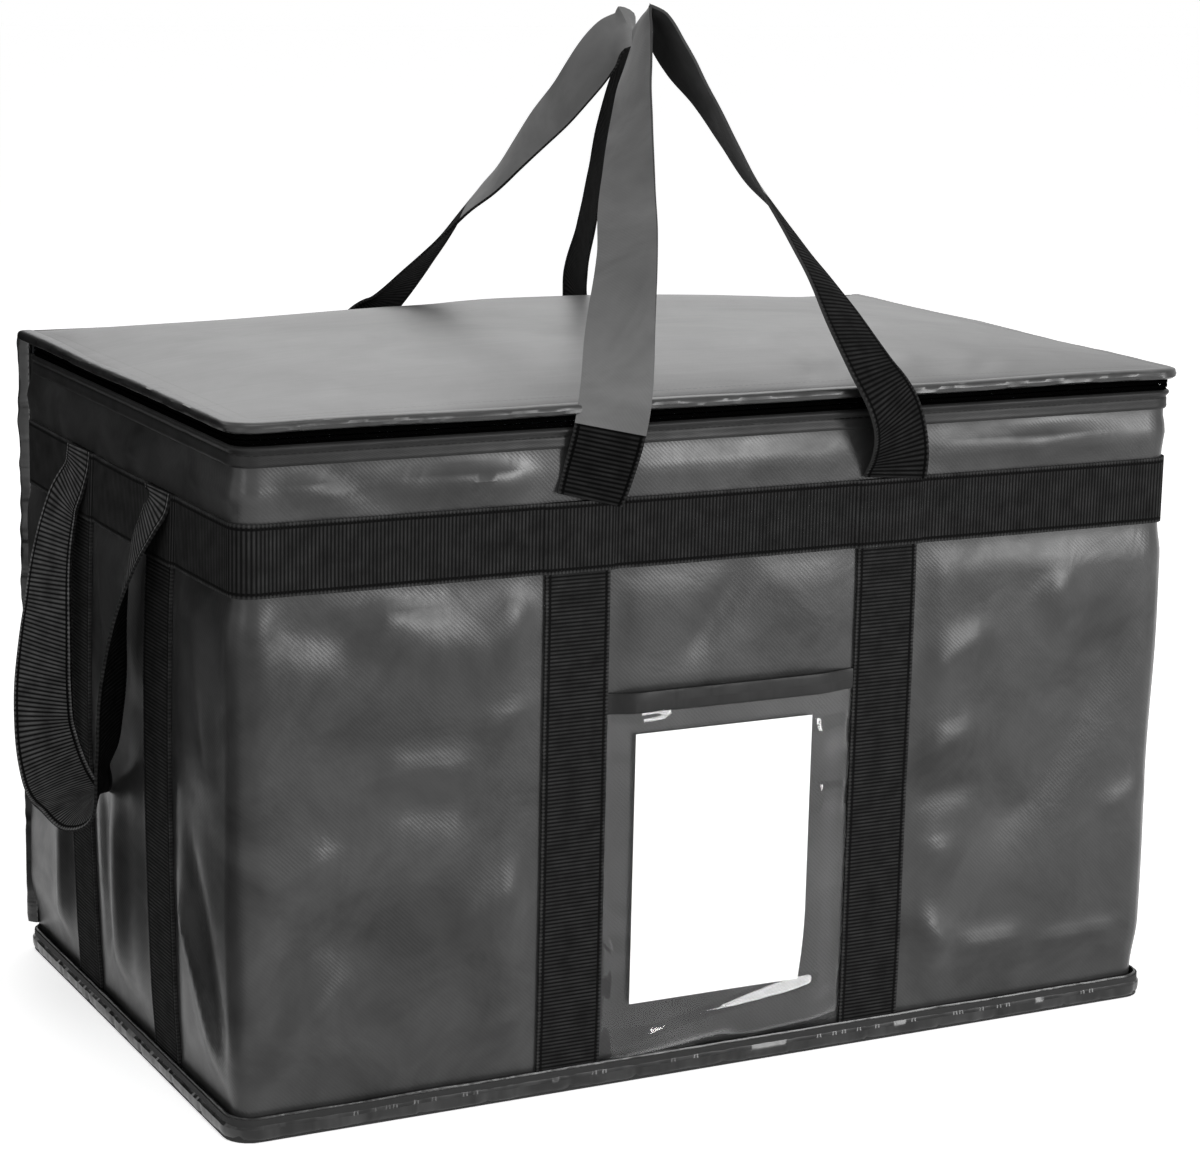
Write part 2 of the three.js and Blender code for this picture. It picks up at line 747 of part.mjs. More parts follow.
// Carry handle of the front (frontSign -1) or back wall, leaning in over the lid to its apex
function carryHandle(frontSign) {
  const rootY = frontSign * (halfDepth + seatGap + webbingThickness / 2);
  const shoulderY = frontSign * (halfDepth + carryShoulderStandOff);
  const apex = new THREE.Vector3(carryApexX, frontSign * carryApexY, carryApexZ);
  const legUp = (rootX, shoulderX) => {
    const shoulder = new THREE.Vector3(shoulderX, shoulderY, carryShoulderZ);
    const reach = apex.distanceTo(shoulder);
    const nearApex = apex.clone().lerp(shoulder, carryApexRadius / reach);
    return [
      new THREE.Vector3(rootX, rootY, handleRoot),
      new THREE.Vector3(rootX, rootY, handleRoot + carryRootRise),
      shoulder,
      shoulder.clone().lerp(apex, 1 / 3),
      shoulder.clone().lerp(apex, 2 / 3),
      nearApex,
    ];
  };
  const left = legUp(-frontStrapCentre, -leftShoulderX);
  const right = legUp(frontStrapCentre, rightShoulderX);
  const top = apex.clone();
  return webbingLoop([...left, top, ...right.reverse()], new THREE.Vector3(0, frontSign, 0));
}
addPiece("front_handle", carryHandle(-1), handleCloth);
addPiece("back_handle", carryHandle(1), handleCloth);

// Side handle, hanging from the band's upper edge down the outside of the wall
function sideHandle(sideSign) {
  const bandFace = strapOuter + seatGap + webbingThickness;
  const innerEdge = sideStrapCentre - halfWebbing;
  const bowAt = (z) => sideBow * bowAlong(innerEdge) * bowUp(z);
  const rootOffset = bandFace + seatGap + webbingThickness / 2 + bowAt(bandTop);
  const slope = (bowAt(bandBottom) - bowAt(bandTop)) / webbingWidth + sideLean;
  const place = (offset, y, drop) =>
    new THREE.Vector3(sideSign * (halfWidth + offset), y, handleRoot - drop);
  const leg = (ySign) => [
    place(rootOffset, ySign * sideStrapCentre, 0),
    place(rootOffset + slope * carryRootRise, ySign * sideStrapCentre, carryRootRise),
    place(sideKneeStandOff, ySign * sideStrapCentre, sideKneeDrop),
    place(sideLoopStandOff, ySign * sideStrapCentre, sideLoopDrop - sideLoopRadius * 2),
    place(sideLoopStandOff, ySign * (sideStrapCentre - sideLoopRadius / 4), sideLoopDrop - sideLoopRadius),
    place(sideLoopStandOff, ySign * (sideStrapCentre - sideLoopRadius), sideLoopDrop - sideLoopRadius / 6),
  ];
  const bottom = place(sideLoopStandOff, 0, sideLoopDrop);
  return webbingLoop([...leg(1), bottom, ...leg(-1).reverse()], new THREE.Vector3(sideSign, 0, 0));
}
addPiece("left_handle", sideHandle(-1), handleCloth);
addPiece("right_handle", sideHandle(1), handleCloth);

// Lid outline: it overhangs the front and side walls and ends at the fold behind
const lidHalfWidth = halfWidth + lidOverhang;
const lidFront = halfDepth + lidOverhang;
const lidDepth = lidRear + lidFront;
const lidMiddleY = (lidRear - lidFront) / 2;

// Share of the crown at a point of the lid: flat under the binding, then a quick rise
function crownShare(x, y) {
  const rise = (distance) => {
    const share = Math.min(1, Math.max(0, distance - lidFlatEdge) / lidRiseLength);
    return 1 - (1 - share) ** 2;
  };
  const fromSide = rise(lidHalfWidth - Math.abs(x));
  const fromEnd = rise(lidDepth / 2 - Math.abs(y - lidMiddleY));
  return fromSide * fromEnd;
}

// Places across the lid, closer together where it rises beside the binding
function lidPlaces(half) {
  const riseShares = [0, 0.15, 0.35, 0.6, 1];
  const rise = riseShares.map((share) => half - lidFlatEdge - lidRiseLength * share);
  const inner = half - lidFlatEdge - lidRiseLength;
  const middle = marks(-inner, inner, lidMiddleSteps).slice(1, -1);
  const outer = [half, ...rise];
  return [...outer.map((place) => -place), ...middle, ...outer.reverse()];
}

// One layer of the lid between two faces, each given by its edge height and its rise
function lidLayer(lowFace, highFace) {
  const across = lidPlaces(lidHalfWidth);
  const deep = lidPlaces(lidDepth / 2);
  const sheet = sheetBody(across.length - 1, deep.length - 1, (column, row, face) => {
    const [x, y] = [across[column], lidMiddleY + deep[row]];
    const { edge, rise } = face === 1 ? highFace : lowFace;
    return [x, y, edge + rise * crownShare(x, y)];
  });
  const reach = lidFront + lidCornerRadius;
  const outline = roundedOutline(lidHalfWidth, reach, lidCornerRadius);
  const trim = toSolid(prism(outline, lidBottom - cutOverrun, lidEdgeTop + lidCrown + cutOverrun));
  return toGeometry(toSolid(sheet).intersect(trim.translate([0, lidCornerRadius, 0])));
}
const linerFaces = [{ edge: lidBottom, rise: lidInnerRise }, { edge: lidLinerTop, rise: lidInnerRise }];
const lidFoamFaces = [{ edge: lidFoamBottom, rise: lidInnerRise }, { edge: lidEdgeFoamTop, rise: lidCrown }];
const lidSkinFaces = [{ edge: lidSkinBottom, rise: lidCrown }, { edge: lidEdgeTop, rise: lidCrown }];
addPiece("lid_liner", lidLayer(...linerFaces), foil);
addPiece("lid_foam", lidLayer(...lidFoamFaces), whiteFoam);
addPiece("lid_skin", lidLayer(...lidSkinFaces), lidFabric);

// Places along the lid's edge, round its left, front and right sides
function lidStations() {
  const sideReach = lidFront - lidCornerRadius;
  const side = (sign, y) => ({ x: sign * lidHalfWidth, y, nx: sign, ny: 0, bow: 0 });
  const front = (x) => ({ x, y: -lidFront, nx: 0, ny: -1, bow: 0 });
  const corner = (sign, quarter) => {
    const shares = Array.from({ length: arcSteps - 1 }, (_, step) => (step + 1) / arcSteps);
    return shares.map((share) => {
      const angle = (quarter + share) * Math.PI / 2;
      const [nx, ny] = [Math.cos(angle), Math.sin(angle)];
      const x = sign * (lidHalfWidth - lidCornerRadius) + lidCornerRadius * nx;
      return { x, y: -sideReach + lidCornerRadius * ny, nx, ny, bow: 0 };
    });
  };
  const frontReach = lidHalfWidth - lidCornerRadius;
  return [
    side(-1, lidRear), side(-1, -sideReach), ...corner(-1, 2),
    front(-frontReach), front(frontReach), ...corner(1, 3),
    side(1, -sideReach), side(1, lidRear),
  ];
}

// Tape rolled round the lid's edge
function lidBinding() {
  const section = [
    [-lidBindingLeg, lidNoseCentreZ - lidNoseOuter],
    ...arcPoints(0, lidNoseCentreZ, lidNoseOuter, -Math.PI / 2, Math.PI / 2),
    [-lidBindingLeg, lidNoseCentreZ + lidNoseOuter],
    [-lidBindingLeg, lidNoseCentreZ + lidNoseInner],
    ...arcPoints(0, lidNoseCentreZ, lidNoseInner, Math.PI / 2, -Math.PI / 2),
    [-lidBindingLeg, lidNoseCentreZ - lidNoseInner],
  ];
  return sweepWall(lidStations(), section, false);
}
addPiece("lid_binding", lidBinding(), bindingTape);

// Fabric that turns from the back wall's upper edge into the lid, and bends as the hinge
function lidFold() {
  const wallMiddle = halfDepth - skinThickness / 2;
  const low = wallTop + seatGap;
  const rear = foldRear - skinThickness / 2;
  const heightShares = [0, 0.27, 0.52, 0.78, 1];
  const reachShares = [0, 0.45, 0.9, 1, 1];
  const line = heightShares.map((share, index) => new THREE.Vector2(
    wallMiddle + (rear - wallMiddle) * reachShares[index], low + (lidEdgeTop - low) * share,
  ));
  const last = line.length - 1;
  const side = (index, sign) => {
    const atEnd = index === 0 || index === last;
    const along = atEnd ? new THREE.Vector2(0, 1) : line[index + 1].clone().sub(line[index - 1]);
    const reach = along.normalize().multiplyScalar(sign * skinThickness / 2);
    return [line[index].x + reach.y, line[index].y - reach.x];
  };
  return sheetBody(1, last, (column, row, face) => {
    const x = (2 * column - 1) * (halfWidth - foldEndInset);
    return [x, ...side(row, 2 * face - 1)];
  });
}
addPiece("lid_fold", lidFold(), wovenFabric);

// Zipper halves: the lower tape and coil on the body, the upper ones on the lid
const zipStations = threeSides(halfDepth - zipEndInset);
const lowerTape = boxSection(seatGap, seatGap + zipTapeThickness, hemBottom, zipTapeTop);
const lowerCoil = boxSection(coilInner, coilOuter, bodyCoilBottom, bodyCoilTop);
const upperCoil = boxSection(coilInner, coilOuter, lidCoilBottom, lidCoilTop);
const upperTapeInner = coilOuter - lidTapeWidth;
const upperTape = boxSection(upperTapeInner, coilOuter, lidTapeBottom, lidTapeBottom + zipTapeThickness);
addPiece("zip_tape_body", sweepWall(zipStations, lowerTape, false), zipCloth);
addPiece("zip_coil_body", sweepWall(zipStations, lowerCoil, false), zipPlastic);
addPiece("zip_coil_lid", sweepWall(zipStations, upperCoil, false), zipPlastic);
addPiece("zip_tape_lid", sweepWall(zipStations, upperTape, false), zipCloth);

// A box between two corners
function boxBetween(low, high) {
  const size = high.map((value, index) => value - low[index]);
  const middle = high.map((value, index) => (value + low[index]) / 2);
  return new THREE.BoxGeometry(...size).translate(...middle);
}

// Stops at both ends of the zipper
for (const [name, sideSign] of [["zip_stop_left", -1], ["zip_stop_right", 1]]) {
  const near = halfWidth + coilInner;
  const far = halfWidth + coilOuter;
  const endY = halfDepth - zipEndInset + seatGap;
  const xs = [sideSign * near, sideSign * far].sort((first, second) => first - second);
  const stop = boxBetween([xs[0], endY, bodyCoilBottom], [xs[1], endY + stopLength, lidCoilTop]);
  addPiece(name, stop, zipMetal);
}

// Slider parked at the rear of the right side: two plates, a post between the coils and a lug
const sliderY = halfDepth - zipEndInset - sliderParkInset - sliderLength / 2;
const coilMiddleZ = (bodyCoilTop + lidCoilBottom) / 2;
const innerPlateFace = halfWidth + coilInner - seatGap;
const outerPlateFace = halfWidth + coilOuter + seatGap;
const lugFace = outerPlateFace + sliderPlate;
const pullAxisX = lugFace + lugReach / 2;
const pullAxisZ = coilMiddleZ - sliderPlateHeight / 8;
function zipSlider() {
  const yLow = sliderY - sliderLength / 2;
  const yHigh = sliderY + sliderLength / 2;
  const zLow = coilMiddleZ - sliderPlateHeight / 2;
  const zHigh = coilMiddleZ + sliderPlateHeight / 2;
  const innerPlate = boxBetween([innerPlateFace - sliderPlate, yLow, zLow], [innerPlateFace, yHigh, zHigh]);
  const outerPlate = boxBetween([outerPlateFace, yLow, zLow], [lugFace, yHigh, zHigh]);
  const postHalf = coilSeparation / 6;
  const postEnd = yLow + sliderPostLength;
  const post = boxBetween(
    [innerPlateFace - sliderPlate / 2, yLow, coilMiddleZ - postHalf],
    [outerPlateFace + sliderPlate / 2, postEnd, coilMiddleZ + postHalf],
  );
  const lug = boxBetween(
    [outerPlateFace + sliderPlate / 2, sliderY - lugWidth / 2, pullAxisZ - lugHeight / 2],
    [lugFace + lugReach, sliderY + lugWidth / 2, pullAxisZ + lugHeight / 2],
  );
  const bore = new THREE.CylinderGeometry(lugBoreRadius, lugBoreRadius, lugWidth + cutOverrun, pinSides);
  bore.translate(pullAxisX, sliderY, pullAxisZ);
  const body = toSolid(innerPlate).add(toSolid(outerPlate)).add(toSolid(post)).add(toSolid(lug));
  return toGeometry(body.subtract(toSolid(bore)));
}
addPiece("zip_slider", zipSlider(), zipMetal);

// Pull: a flat tab whose two ears carry a pin through the slider's lug
function zipPull() {
  const earInner = lugWidth / 2 + seatGap;
  const earOuter = earInner + pullEar;
  const pin = new THREE.CylinderGeometry(pullPinRadius, pullPinRadius, earInner + earOuter, pinSides);
  pin.translate(pullAxisX, sliderY, pullAxisZ);
  const halfThick = pullThickness / 2;
  const earTop = pullAxisZ + pullEar;
  const shoulder = pullAxisZ - pullShoulder;
  const ears = [-1, 1].map((sign) => {
    const ys = [sign * earInner, sign * earOuter].sort((first, second) => first - second);
    return toSolid(boxBetween(
      [pullAxisX - halfThick, sliderY + ys[0], shoulder - pullThickness],
      [pullAxisX + halfThick, sliderY + ys[1], earTop],
    ));
  });
  const outline = [
    [earOuter, shoulder],
    [pullTabWidth / 2, shoulder - pullShoulder * 2],
    [pullTabWidth / 2, pullAxisZ - pullLength],
    [-pullTabWidth / 2, pullAxisZ - pullLength],
    [-pullTabWidth / 2, shoulder - pullShoulder * 2],
    [-earOuter, shoulder],
  ];
  const tab = prism(outline, -halfThick, halfThick);
  tab.applyMatrix4(new THREE.Matrix4().makeBasis(
    new THREE.Vector3(0, 1, 0), new THREE.Vector3(0, 0, 1), new THREE.Vector3(1, 0, 0),
  ));
  tab.translate(pullAxisX, sliderY, 0);
  return toGeometry(toSolid(tab).add(ears[0]).add(ears[1]).add(toSolid(pin)));
}
addPiece("zip_pull", zipPull(), zipMetal);

export default bag;
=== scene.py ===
"""Looks of the insulated shopping bag: a foil-lined foam box in black laminated fabric.

Everything is in metres. X runs along the front, the front wall faces -Y and Z is up.
"""

import logging
import math
from dataclasses import dataclass, field
from enum import Enum
from typing import Callable, Iterable, Optional, Sequence, Union

import bmesh
import bpy
from mathutils import Matrix, Vector, noise


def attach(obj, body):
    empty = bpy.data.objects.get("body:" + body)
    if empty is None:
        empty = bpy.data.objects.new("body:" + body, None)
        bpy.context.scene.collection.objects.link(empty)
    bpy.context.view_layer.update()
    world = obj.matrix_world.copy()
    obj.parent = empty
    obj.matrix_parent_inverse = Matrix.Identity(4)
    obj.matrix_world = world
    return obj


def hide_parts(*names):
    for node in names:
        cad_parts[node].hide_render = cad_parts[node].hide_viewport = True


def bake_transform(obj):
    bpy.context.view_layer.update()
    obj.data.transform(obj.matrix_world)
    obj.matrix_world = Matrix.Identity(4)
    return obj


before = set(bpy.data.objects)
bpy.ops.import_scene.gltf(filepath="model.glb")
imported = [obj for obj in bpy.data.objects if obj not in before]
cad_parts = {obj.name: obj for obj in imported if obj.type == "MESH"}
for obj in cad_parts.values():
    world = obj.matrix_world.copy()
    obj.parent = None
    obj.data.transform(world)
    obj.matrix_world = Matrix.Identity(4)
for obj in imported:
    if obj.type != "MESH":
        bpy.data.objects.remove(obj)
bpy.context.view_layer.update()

log = logging.getLogger("bag")

Place = Callable[[float, float], Vector]
Socket = bpy.types.NodeSocket
Feed = Union[float, Socket]

# The camera stands here; handles are turned by how wide they look from it
CAMERA_SPOT = Vector((-0.8362, -1.6255, 0.6407))
CAMERA_RIGHT = Vector((0.88971, -0.45596, 0.02271))
CAMERA_UP = Vector((0.07801, 0.20087, 0.97651))
CAMERA_BACK = Vector((-0.44981, -0.86704, 0.21428))

# Sizes that several sub-assemblies share
HALF_WIDTH = 0.286
HALF_DEPTH = 0.172
FRONT_RADIUS = 0.010
WEBBING_WIDTH = 0.038
WEBBING_THICKNESS = 0.0016
STRAP_STAND_OFF = 0.0003
BAND_LOW = 0.289
BAND_TOP = 0.327
FRONT_STRAP_CENTRE = 0.096
SIDE_STRAP_CENTRE = 0.066

# Cloth is drawn sharp at edges that turn by more degrees than this
SHARP_ANGLE = 40.0
# Stitches repeat at this pitch, with a gap while the beat is under this share; threads are this deep
STITCH_PITCH = 0.004
STITCH_GAP = -0.45
FINE = 0.0002


class Side(Enum):
    """The two mirror-image sides of a thing, as the sign of its coordinate."""

    LEFT = -1
    RIGHT = 1


class Wall(Enum):
    """The wall that a strap or handle is sewn to."""

    FRONT = "front"
    BACK = "back"
    LEFT = "left"
    RIGHT = "right"


def linear(colour: str) -> tuple[float, float, float, float]:
    """Turns an sRGB hex colour to linear.

    Args:
        colour: six hex digits, such as "2b2b2b".

    Returns:
        Linear red, green, blue and an alpha of 1.
    """
    shares = [int(colour[start:start + 2], 16) / 255 for start in (0, 2, 4)]
    bent = [share / 12.92 if share <= 0.04045 else ((share + 0.055) / 1.055) ** 2.4 for share in shares]
    return (bent[0], bent[1], bent[2], 1.0)


@dataclass(frozen=True)
class Graph:
    """A material's node tree, with short ways to add what the finishes share."""

    tree: bpy.types.NodeTree

    def add(self, kind: str, feeds: dict, out: Union[int, str] = 0, **settings) -> Socket:
        """Adds a shader node.

        Args:
            kind: the node's type name after "ShaderNode".
            feeds: socket name or number to its value, or to the output that feeds it.
            out: name or number of the output that is wanted.
            settings: attributes of the node.

        Returns:
            That output.
        """
        made = self.tree.nodes.new("ShaderNode" + kind)
        for name, value in settings.items():
            setattr(made, name, value)
        for socket, feed in feeds.items():
            if isinstance(feed, bpy.types.NodeSocket):
                self.tree.links.new(feed, made.inputs[socket])
            else:
                made.inputs[socket].default_value = feed
        return made.outputs[out]

    def place(self, kind: str) -> Socket:
        """Where a point is: in the object's own space, or by the cloth's own measure in metres."""
        return self.add("TexCoord", {}, out=kind)

    def parts(self, where: Socket) -> tuple[Socket, Socket]:
        """The first two numbers of a place: across the cloth and along it."""
        return self.add("SeparateXYZ", {0: where}), self.add("SeparateXYZ", {0: where}, out=1)

    def maths(self, operation: str, *feeds: Feed, clamp: bool = False) -> Socket:
        """Works one sum on numbers and outputs."""
        return self.add("Math", dict(enumerate(feeds)), operation=operation, use_clamp=clamp)

    def noise(
        self, where: Socket, scale: float, detail: float, roughness: float = 0.5, distortion: float = 0.0,
    ) -> Socket:
        """Adds a cloudy noise."""
        return self.add("TexNoise", {
            "Vector": where, "Scale": scale, "Detail": detail, "Roughness": roughness, "Distortion": distortion,
        })

    def drawn(self, where: Socket, across: float, along: float, detail: float, distortion: float) -> Socket:
        """Adds a noise that is drawn out: bumps per metre across the cloth and along it."""
        return self.noise(
            self.add("Mapping", {"Vector": where, "Scale": (across, along, 1.0)}), 1.0, detail, distortion=distortion,
        )

    def bands(self, where: Socket, pitch: float, distortion: float = 0.0) -> Socket:
        """Adds diagonal bands that repeat once in the pitch along either axis."""
        return self.add("TexWave", {
            "Vector": where, "Scale": math.pi / 5 / pitch, "Distortion": distortion, "Detail": 1.0,
        }, out="Fac", bands_direction="DIAGONAL")

    def spread(self, value: Socket, low: float, high: float, to_low: float = 0.0, to_high: float = 1.0) -> Socket:
        """Stretches a range of values to another one."""
        return self.add("MapRange", {
            "Value": value, "From Min": low, "From Max": high, "To Min": to_low, "To Max": to_high,
        })

    def blend(self, factor: Socket, first: Union[str, Socket], second: str) -> Socket:
        """Blends from one colour to another, each an output or sRGB hex."""
        start = linear(first) if isinstance(first, str) else first
        return self.add("Mix", {0: factor, 6: start, 7: linear(second)}, out=2, data_type="RGBA")

    def bump(self, height: Socket, strength: float, distance: float, under: Optional[Socket] = None) -> Socket:
        """Adds a bump, over another one if there is one under it."""
        feeds = {"Height": height, "Strength": strength, "Distance": distance}
        return self.add("Bump", feeds if under is None else {**feeds, "Normal": under})

    def stitches(self, row: Socket, along: Socket) -> Socket:
        """Breaks a sewn row into stitches: 1 on a stitch and 0 elsewhere.

        Args:
            row: 1 on the row.
            along: the distance along it in metres.

        Returns:
            1 on a stitch and 0 elsewhere.
        """
        beat = self.maths("SINE", self.maths("MULTIPLY", along, 2 * math.pi / STITCH_PITCH))
        return self.maths("MULTIPLY", row, self.maths("GREATER_THAN", beat, STITCH_GAP))


@dataclass(frozen=True)
class Finish:
    """A plain finish: one shader, to which subclasses add the cloth's own pattern."""

    name: str
    colour: str
    roughness: float = 0.5
    metallic: float = 0.0
    specular: float = 0.5

    def material(self) -> bpy.types.Material:
        """Makes the material on first use and returns it afterwards."""
        found = bpy.data.materials.get(self.name)
        if found:
            return found
        made = bpy.data.materials.new(self.name)
        made.use_nodes = True
        tree = made.node_tree
        inputs = tree.nodes["Principled BSDF"].inputs
        inputs["Base Color"].default_value = linear(self.colour)
        inputs["Roughness"].default_value = self.roughness
        inputs["Metallic"].default_value = self.metallic
        inputs["Specular IOR Level"].default_value = self.specular
        for socket, source in self.pattern(Graph(tree)).items():
            tree.links.new(source, inputs[socket])
        return made

    def pattern(self, graph: Graph) -> dict[str, Socket]:
        """Adds the finish's own nodes; a plain finish has a faint mottle.

        Args:
            graph: the material's nodes.

        Returns:
            The shader's inputs and what feeds them.
        """
        return {"Normal": graph.bump(graph.noise(graph.place("Object"), 400.0, 2.0), 0.12, FINE)}


@dataclass(frozen=True)
class LaminatedFabric(Finish):
    """Woven polypropylene under a clear film: fine diagonal threads and a soft, uneven sheen, from an uneven
    roughness and from lighter blotches painted into the colour.
    """

    light: str = "383838"
    thread: float = 0.0017
    crumple: float = 0.3
    # how strongly the blotches vary: in the colour as a random tone and painted sheen, and in the roughness
    mottle: float = 1.0
    grain: tuple[float, float] = (26.0, 26.0)
    row: float = 0.0
    row_half: float = 0.0005
    row_colour: str = "0a0a0a"

    def sewn(self, graph: Graph, where: Socket) -> Optional[Socket]:
        """Marks the sewn row, which runs along the cloth at a set distance across it.

        Args:
            graph: the material's nodes.
            where: the cloth's own measure in metres.

        Returns:
            1 on a stitch and 0 elsewhere, or None where the cloth has no row.
        """
        if not self.row:
            return None
        across, along = graph.parts(where)
        return graph.stitches(graph.maths("COMPARE", across, self.row, self.row_half), along)

    def pattern(self, graph: Graph) -> dict[str, Socket]:
        """Draws the diagonal threads, the film's blotchy sheen as painted sheen in the colour and as uneven
        roughness, its small crumples and any sewn row.
        """
        where = graph.place("UV")
        height = graph.bands(where, self.thread * math.sqrt(2), 0.6)
        blotch = graph.noise(where, 16.0, 4.0, 0.6, 0.5)
        half = 0.17 / self.mottle
        # the colour's lighter blotches are a random tone and a painted sheen, and they are glossier where they are
        # lighter
        cloth = graph.blend(graph.spread(blotch, 0.5 - half, 0.5 + half), self.colour, self.light)
        marks = self.sewn(graph, where)
        if marks is not None:
            cloth = graph.blend(marks, cloth, self.row_colour)
            height = graph.maths("MULTIPLY_ADD", marks, -3.0, height)
        dull, bright = self.roughness + 0.10 * self.mottle, self.roughness - 0.06 * self.mottle
        film = graph.bump(graph.drawn(where, *self.grain, 3.0, 0.8), self.crumple, 0.0018)
        return {
            "Base Color": cloth,
            "Roughness": graph.spread(blotch, 0.3, 0.7, dull, bright),
            "Normal": graph.bump(height, 0.12, FINE, film),
        }


@dataclass(frozen=True)
class LidFabric(LaminatedFabric):
    """The same fabric on the lid, with a row of stitches a finger's width inside its edge."""

    size: tuple[float, float] = (0.578, 0.351)
    row: float = 0.0115
    row_half: float = 0.0006

    def sewn(self, graph: Graph, where: Socket) -> Optional[Socket]:
        """Marks the row of stitches round the lid.

        Args:
            graph: the material's nodes.
            where: the cloth's own measure in metres.

        Returns:
            1 on a stitch and 0 elsewhere.
        """
        parts = graph.parts(where)
        edges = [
            graph.maths("MINIMUM", part, graph.maths("SUBTRACT", span, part))
            for part, span in zip(parts, self.size)
        ]
        near = graph.maths("COMPARE", graph.maths("MINIMUM", *edges), self.row, self.row_half)
        return graph.stitches(near, graph.maths("ADD", *parts))


@dataclass(frozen=True)
class RibbedWebbing(Finish):
    """Polypropylene webbing: ribs across its length, each crest painted lighter as a painted highlight, a sewn row
    inside each edge and a paler selvedge.

    The ribs are drawn at the pitch that shows, about twice the real thread's.
    """

    light: str = "2c2c2c"
    pitch: float = 0.0021
    rib_depth: float = 0.0004
    row_inset: float = 0.0024
    row_half: float = 0.0007
    selvedge: float = 0.0011

    def pattern(self, graph: Graph) -> dict[str, Socket]:
        """Draws the ribs with a painted highlight on each crest, the sewn rows and the selvedge from the cloth's own
        measure in metres.
        """
        where = graph.place("UV")
        across, along = graph.parts(where)
        ribs = graph.maths("SINE", graph.maths("MULTIPLY", along, 2 * math.pi / self.pitch))
        inset = graph.maths("MINIMUM", across, graph.maths("SUBTRACT", WEBBING_WIDTH, across))
        row = graph.maths("COMPARE", inset, self.row_inset, self.row_half)
        # each rib's crest is painted lighter as a painted highlight, the selvedge paler still, and a noise breaks
        # both up
        crest = graph.spread(ribs, -1.0, 1.0)
        lit = graph.maths("MULTIPLY_ADD", graph.maths("LESS_THAN", inset, self.selvedge), 0.6, crest)
        uneven_rib_highlight = graph.maths("MULTIPLY", lit, graph.noise(where, 90.0, 3.0))
        return {
            "Base Color": graph.blend(graph.maths("SUBTRACT", uneven_rib_highlight, row, clamp=True), self.colour, self.light),
            "Normal": graph.bump(graph.maths("SUBTRACT", crest, row), 0.8, self.rib_depth),
        }


@dataclass(frozen=True)
class BindingTape(Finish):
    """Glossy tape folded over an edge: creased across, with the creases' crests painted lighter as a painted
    highlight, and a sewn row on each side.
    """

    light: str = "2e2e2e"
    row_middle: float = 0.0085
    row_off: float = 0.0041
    row_half: float = 0.00045
    thread: str = "5a5a5a"
    crease: float = 0.0014

    def pattern(self, graph: Graph) -> dict[str, Socket]:
        """Draws the cross creases, painted lighter where they rise as a painted highlight, and the sewn rows."""
        where = graph.place("UV")
        creases = graph.drawn(where, 14.0, 62.0, 2.0, 0.6)
        across, along = graph.parts(where)
        off = graph.maths("ABSOLUTE", graph.maths("SUBTRACT", across, self.row_middle))
        marks = graph.stitches(graph.maths("COMPARE", off, self.row_off, self.row_half), along)
        # the tape is painted lighter where the creases rise: a painted highlight
        tape = graph.blend(graph.spread(creases, 0.42, 0.72), self.colour, self.light)
        return {
            "Base Color": graph.blend(marks, tape, self.thread),
            "Normal": graph.bump(creases, 0.5, self.crease),
        }


@dataclass(frozen=True)
class CrinkledFoil(Finish):
    """Aluminised film on foam: bright metal with sharp, shallow crinkles about 12 mm apart."""

    dull: str = "a9adb1"

    def pattern(self, graph: Graph) -> dict[str, Socket]:
        """Draws the crinkles and a little uneven dullness."""
        where = graph.place("Object")
        cells = graph.add("TexVoronoi", {"Vector": where, "Scale": 80.0}, out="Distance", feature="SMOOTH_F1")
        cloud = graph.noise(where, 25.0, 4.0, distortion=1.0)
        return {
            "Base Color": graph.blend(cloud, self.colour, self.dull),
            "Normal": graph.bump(graph.maths("ADD", cells, cloud), 0.5, 0.0015),
        }


@dataclass(frozen=True)
class ClearFilm(Finish):
    """Clear flexible PVC: see-through, with sharp highlights where it waves."""

    head_on: float = 0.012

    def pattern(self, graph: Graph) -> dict[str, Socket]:
        """Makes the film reflect by its angle and let the rest of the light through."""
        waved = graph.bump(graph.noise(graph.place("UV"), 14.0, 0.5, distortion=0.8), 0.3, 0.0012)
        # the same from both sides, so that the film's back face never turns into a mirror
        facing = graph.add("LayerWeight", {"Blend": 0.5, "Normal": waved}, out="Facing")
        steep = graph.maths("POWER", facing, 5.0)
        mirror = graph.maths("MULTIPLY_ADD", steep, 1.0 - self.head_on, self.head_on, clamp=True)
        return {"Normal": waved, "Alpha": mirror}


@dataclass(frozen=True)
class CoilTeeth(Finish):
    """Nylon zipper coil: a tooth every 1.5 mm along the closure, each with a painted glint."""

    pitch: float = 0.0015
    # colour of the painted glint on each tooth
    crest: str = "050505"

    def pattern(self, graph: Graph) -> dict[str, Socket]:
        """Draws the teeth along both directions that the closure runs, each tooth's crest painted lighter as a
        painted glint.
        """
        teeth = graph.bands(graph.place("Object"), self.pitch)
        return {
            "Base Color": graph.blend(teeth, self.colour, self.crest),
            "Normal": graph.bump(teeth, 1.0, 0.0005),
        }


# Laminated polypropylene: near black, with a soft blotchy sheen where the film catches the light, part of it painted
# into the colour as lighter blotches
WALL_FABRIC = LaminatedFabric("laminated_woven_fabric", "1a1a1a", 0.34, specular=0.30, light="383838")
# The hem is the same cloth doubled over; its sewn row reads as a dark dotted groove
HEM_FABRIC = LaminatedFabric("laminated_hem_fabric", "1a1a1a", 0.42, specular=0.15, light="282828", row=0.0137)
